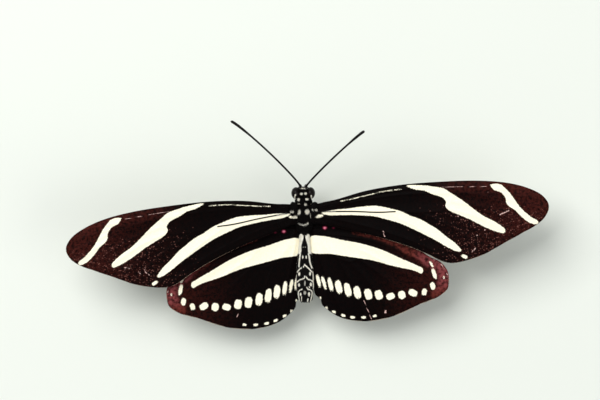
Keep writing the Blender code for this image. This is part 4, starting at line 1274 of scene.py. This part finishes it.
def blades(root, way, normal, length, width, lift, thickness=0.35):
    """Small closed blades, seven points each, that rise from their roots and end in a point."""
    side = np.cross(normal, way) * width[:, None] / 2
    rise = normal * (length * lift)[:, None]
    reach = way * length[:, None]
    thick = normal * (width * thickness)[:, None]
    low = root - normal * 0.02
    middle = root + reach * 0.55 + rise * 0.75
    points = np.stack([low - side, low + side, low + thick, middle - side * 0.8,
                       middle + side * 0.8, middle + thick * 0.8, root + reach + rise], 1)
    faces = [tuple(i + 7 * k for i in face) for k in range(len(root)) for face in BLADE_FACES]
    return points.reshape(-1, 3), faces


def coat_piece(name, material, root, way, normal, length, width, lift, cream, bake,
               thickness=0.35, root_shade=0.0):
    """One piece of coat from the places, directions and sizes of its tufts."""
    count = len(root)
    points, faces = blades(root, way, normal, length, width, lift * np.ones(count), thickness)
    tone = rng.random(count)
    cream = np.repeat(cream, 7)
    cream[np.arange(7 * count) % 7 < 3] -= root_shade
    uv = (bake[:, None, :] + BLADE_MAP[None]).reshape(-1, 2)
    return new_piece(name, points, faces, material, (),
                     {"cream": cream, "tone": np.repeat(tone, 7)}, {"OFBake": uv})


EVEN_STEPS = (0.7548776662466927, 0.5698402909980532)   # root of x**3 + x**2 = 1, and its square


def even_pairs(count):
    """Evenly spread pairs of numbers from 0 to 1."""
    i = np.arange(1, count + 1)
    return (i * EVEN_STEPS[0]) % 1, (i * EVEN_STEPS[1]) % 1


def body_places(count, front, back):
    """Evenly spread stations and angles on the skin, and the points and normals there."""
    share, turn = even_pairs(count)
    y = np.linspace(front, back, 500)
    half_x, half_z = skin_half(y)
    cover = np.cumsum(half_x + half_z)
    y = np.interp(share, cover / cover[-1], y)
    a = 2 * math.pi * turn
    p = skin_points(y, a)
    normal = unit(np.cross(skin_points(y, a + 0.02) - p, skin_points(y - 0.02, a) - p))
    return y, a, p, normal


def clear_of_eyes(p):
    """Whether points lie outside both eyes."""
    clear = np.ones(len(p), bool)
    for side in SIDES:
        clear &= np.sum(((p - eye_centre(side)) / EYE_HALF) ** 2, axis=1) > 1.02
    return clear


def dress_body(name, count, front, back, length, width, lift, stray, thickness=0.35, face=False):
    """A coat between two stations. It lies backwards, and on the front of a face downwards."""
    y, a, root, normal = body_places(count, front, back)
    keep = clear_of_eyes(root)
    y, a, root, normal = y[keep], a[keep], root[keep], normal[keep]
    down = smoothstep(3.2, 3.7, y)[:, None] if face else 0.0
    way = np.array([[0.0, -1.0, 0.0]]) * (1 - down) + np.array([[0.0, 0.1, -1.0]]) * down
    way = along_skin(way, normal, stray)
    bake = np.column_stack([0.02 + 0.96 * a / (2 * math.pi),
                            0.02 + 0.96 * (y - ABDOMEN_BACK + 1.3) / 20.9])
    size = rng.uniform(*length, len(root))
    cream = body_marks(root + way * size[:, None] / 2)
    return coat_piece(name, HAIR, root, way, normal, size,
                      rng.uniform(*width, len(root)), lift, cream, bake, thickness)


# %% coat of the body
dress_body("coat_head", 5200, 3.88, 2.15, (0.16, 0.3), (0.025, 0.045), 0.4, 0.22, face=True)
dress_body("coat_face", 1900, 3.967, 3.84, (0.14, 0.24), (0.025, 0.04), 0.4, 0.22, face=True)
dress_body("coat_collar", 3600, 2.0, 0.75, (0.25, 0.42), (0.03, 0.05), 0.35, 0.18)
dress_body("coat_thorax", 9500, 0.85, -4.35, (0.35, 0.62), (0.03, 0.055), 0.26, 0.16)
dress_body("coat_abdomen", 13500, -4.35, ABDOMEN_BACK - 1.15, (0.2, 0.27), (0.09, 0.13), 0.14,
           0.07, thickness=0.12)
dress_body("coat_tail", 900, ABDOMEN_BACK - 0.95, ABDOMEN_BACK - 1.27, (0.16, 0.22), (0.08, 0.11),
           0.14, 0.07, thickness=0.12)

# %% [markdown]
# ## Scales behind the eyes
# A line of white scales edges the back of each eye. They are the same short blades, rooted on the
# eye's rim, and stand in the eye's own shape so that they follow its curve.

# %% eye rims
EYE_RIMS = {"right": [(1.28, 2.5), (1.36, 2.2), (1.42, 1.8)],
            "left": [(-1.53, 2.66), (-1.66, 2.2), (-1.72, 1.75)]}


def rim_scales(side, count):
    """Scales strewn along a line on the eye, which is given as seen from above."""
    line = smooth_line(EYE_RIMS[side], step=0.01)
    at = line[rng.integers(len(line), size=count)] + rng.normal(0, 0.045, (count, 2))
    centre = eye_centre(side)
    flat = (at - centre[:2]) / EYE_HALF[:2]
    ball = np.column_stack([flat, np.sqrt(np.clip(1 - np.sum(flat**2, axis=1), 0.02, 1))])
    root = ball * EYE_HALF + centre
    normal = unit(ball / EYE_HALF)
    way = along_skin(repeated((0.0, -1.0, -0.3), count), normal, 0.2)
    bake = 0.5 + 0.4 * flat
    coat_piece("eye_rim_scales_" + side, HAIR, root, way, normal,
               rng.uniform(0.12, 0.2, count), rng.uniform(0.03, 0.045, count), 0.3,
               np.ones(count), bake)


for side, count in (("right", 260), ("left", 400)):
    rim_scales(side, count)

# %% [markdown]
# ## Hair at the wing roots
# Long soft hairs spread from the wing roots over the veins, and along the hindwing's inner margin
# they lie against the abdomen. They hide the hinges, as on the real insect.

# %% wing root hair
def plan_bake(p):
    """A wing's plan laid on the baking map."""
    return np.column_stack([0.02 + 0.96 * p[:, 0] / 46, 0.02 + 0.96 * (p[:, 1] + 22) / 28])


def laid_on_wing(plan, side, p, way):
    """Places and directions on a wing's upper face, for points and directions of its plan."""
    middle, lift = wing_form(plan, side, p)
    ahead = wing_form(plan, side, p + 0.2 * way)[0] - middle
    normal = repeated(UP, len(p))
    return middle + lift, along_skin(unit(ahead), normal, 0.12), normal


def root_hair(plan, side, count):
    """Hairs on one wing: from its root outwards, and on a hindwing along its inner margin too."""
    share, across = even_pairs(count)
    if plan["pair"] == "fore":
        p = np.column_stack([0.9 + 4.6 * share**1.6, -2.7 + 3.6 * across])
        way = np.column_stack([np.full(count, 0.95), -0.12 + 0.25 * (p[:, 1] + 0.8)])
        length = rng.uniform(0.5, 0.95, count) * (1.1 - 0.6 * share)
    else:
        inner = share > 0.35
        y = -4.0 - 11.5 * (share - 0.35) / 0.65
        p = np.where(inner[:, None],
                     np.column_stack([1.0 + 0.5 * across + 0.5 * smoothstep(-11.0, -15.5, y), y]),
                     np.column_stack([0.9 + 3.4 * (share / 0.35) ** 1.5, -4.6 + 2.1 * across]))
        way = np.where(inner[:, None], [[0.28, -0.95]], [[0.95, -0.2]])
        length = rng.uniform(0.45, 0.85, count)
    marks = pattern(plan["pair"], side, p + 0.5 * length[:, None] * way)
    clear = np.maximum(marks["cream"] if plan["pair"] == "hind" else OUTSIDE, marks["red"])
    keep = (depth_inside(p, plan["rim"]) > 0.05) & (clear < -0.12)
    p, way, length, cream = p[keep], way[keep], length[keep], marks["cream"][keep]
    root, way, normal = laid_on_wing(plan, side, p, way)
    return coat_piece(f"{plan['pair']}wing_root_hair_{side}", HAIR, root, way,
                      normal, length, rng.uniform(0.02, 0.034, len(p)), 0.1, cream - 0.05,
                      plan_bake(p))


for plan in PLANS.values():
    for side in SIDES:
        root_hair(plan, side, 1500 if plan["pair"] == "fore" else 2400)

# %% [markdown]
# ## Fringe
# A double row of narrow scales stands out from the outer and hind margins. On this species it is
# dark at the ends of the veins and pale between them, which draws the fine broken line round the
# wings.

# %% fringe scales
def fringe(plan, side):
    """Two rows of scales that fill the room between the membrane's rim and the wing's outline."""
    rim = respaced(plan["rim"], 0.055)
    out = outward(rim)
    rim = rim[:-1]
    loop = smooth_line(OUTLINES[plan["pair"]], True, 0.2)
    room = distance(rim, loop)
    at = (room > 0.1) & (rim[:, 0] > HINGE_OUT)
    pale = smoothstep(0.45, 0.8, nearest(rim, plan["lines"]))
    pale *= 0.9 if plan["pair"] == "hind" else 0.55
    pale *= smoothstep(0.2, 0.45, rim[:, 0] / rim[:, 0].max())
    rows = []
    for share in (1.0, 0.68):
        p = rim[at] - 0.05 * out[at]
        middle = wing_form(plan, side, p)[0] + (0, 0, 0.012 if share < 1 else -0.012)
        tip = wing_form(plan, side, p + 0.2 * out[at])[0]
        normal = repeated(UP, len(p))
        way = along_skin(unit(tip - middle), normal, 0.16)
        length = (room[at] - 0.02) * share * rng.uniform(0.8, 1.0, len(p))
        cream = np.where(rng.random(len(p)) < pale[at], 1.0, -1.0)
        rows.append((middle, way, normal, length, cream, plan_bake(p)))
    root, way, normal, length, cream, bake = (np.concatenate(c) for c in zip(*rows))
    return coat_piece(f"{plan['pair']}wing_fringe_{side}", EDGE, root, way,
                      normal, length, rng.uniform(0.045, 0.075, len(root)), 0.0, cream, bake, 0.12,
                      root_shade=1.2)


for plan in PLANS.values():
    for side in SIDES:
        fringe(plan, side)

# %% hair on palps and tegulae
def dress_piece(name, piece, count, way, length, width, lift, stray, cream):
    """Tufts over a piece that is already made, on faces picked by their size."""
    mesh = piece.data
    areas = np.array([f.area for f in mesh.polygons])
    picked = rng.choice(len(areas), count, p=areas / areas.sum())
    centre = np.array([mesh.polygons[int(i)].center for i in picked]) * 1000 - (BODY_X, BODY_Y, 0)
    normal = np.array([mesh.polygons[int(i)].normal for i in picked])
    lie = along_skin(repeated(way, count), normal, stray)
    low, high = centre.min(0), centre.max(0)
    turn = np.arctan2(centre[:, 0] - (low[0] + high[0]) / 2, centre[:, 1] - (low[1] + high[1]) / 2)
    bake = np.column_stack([0.5 + 0.96 * turn / (2 * math.pi),
                            0.02 + 0.96 * (centre[:, 2] - low[2]) / (high[2] - low[2])])
    return coat_piece(name, HAIR, centre, lie, normal,
                      rng.uniform(*length, count), rng.uniform(*width, count), lift,
                      cream(centre), bake)


for side, sign in SIDES.items():
    dress_piece("palp_hair_" + side, bpy.data.objects["palp_skin_" + side], 900, (0, 0.35, 1),
                (0.18, 0.3), (0.025, 0.04), 0.35, 0.2,
                lambda c: np.abs(c[:, 0] - axis_x(4.0)) - PALP_OUT - 0.14)
    dress_piece("tegula_hair_" + side, bpy.data.objects["tegula_plate_" + side], 1500,
                (0.35 * sign, -1, 0), (0.25, 0.5), (0.03, 0.05), 0.22, 0.2,
                lambda c: deepest(c[:, :2], TEGULA_MARKS[side]))
    dress_piece("valve_hair_" + side, bpy.data.objects["valve_" + side], 500, (0, -1, 0),
                (0.12, 0.22), (0.03, 0.05), 0.2, 0.15,
                lambda c: np.abs(np.abs(c[:, 0] - axis_x(c[:, 1])) - VALVE_OUT + 0.03) - 0.26)

# %% [markdown]
# ## Floor, light and camera
# The insect stands on a plain pale floor under two wide soft lights, one strong and one weak. The
# camera looks straight down from far enough away that the wings are hardly distorted.

# %% stage
PHOTO_AIM = (-1.366, 4.638)   # mm, what the middle of the photograph looks at
CAMERA_HEIGHT = 710.0
SHOWN_WIDTH = 108.0


def area_light(name, place, aim, size, power):
    light = bpy.data.lights.new(name, "AREA")
    light.size, light.energy = size, power
    obj = bpy.data.objects.new(name, light)
    obj.location = place
    obj.rotation_mode = "QUATERNION"
    obj.rotation_quaternion = (Vector(aim) - Vector(place)).to_track_quat("-Z", "Y")
    bpy.context.scene.collection.objects.link(obj)


def build_stage():
    mesh = bpy.data.meshes.new("floor")
    mesh.from_pydata([(-3, -3, 0), (3, -3, 0), (3, 3, 0), (-3, 3, 0)], [], [(0, 1, 2, 3)])
    mesh.materials.append(plain_material("floor", "#dfe3da", 0.85))
    floor = bpy.data.objects.new("floor", mesh)
    bpy.context.scene.collection.objects.link(floor)
    area_light("key", (-0.25, 0.3, 0.6), (0, 0, 0.01), 0.5, 5.0)
    area_light("fill", (0.5, -0.3, 0.45), (0, 0, 0.01), 0.6, 1.6)
    scene = bpy.context.scene
    sky = bpy.data.worlds.new("soft light")
    sky.use_nodes = True
    shade = sky.node_tree.nodes["Background"]
    shade.inputs["Color"].default_value = linear("#eef1f5")
    shade.inputs["Strength"].default_value = 0.45
    scene.world = sky
    scene.view_settings.view_transform = "Standard"
    camera = bpy.data.cameras.new("above")
    camera.sensor_width = 36.0
    camera.lens = 36.0 * (CAMERA_HEIGHT - 10.0) / SHOWN_WIDTH
    camera.clip_start, camera.clip_end = 0.01, 10.0
    eye = bpy.data.objects.new("above", camera)
    eye.location = (PHOTO_AIM[0] / 1000, PHOTO_AIM[1] / 1000, CAMERA_HEIGHT / 1000)
    scene.collection.objects.link(eye)
    scene.camera = eye


build_stage()
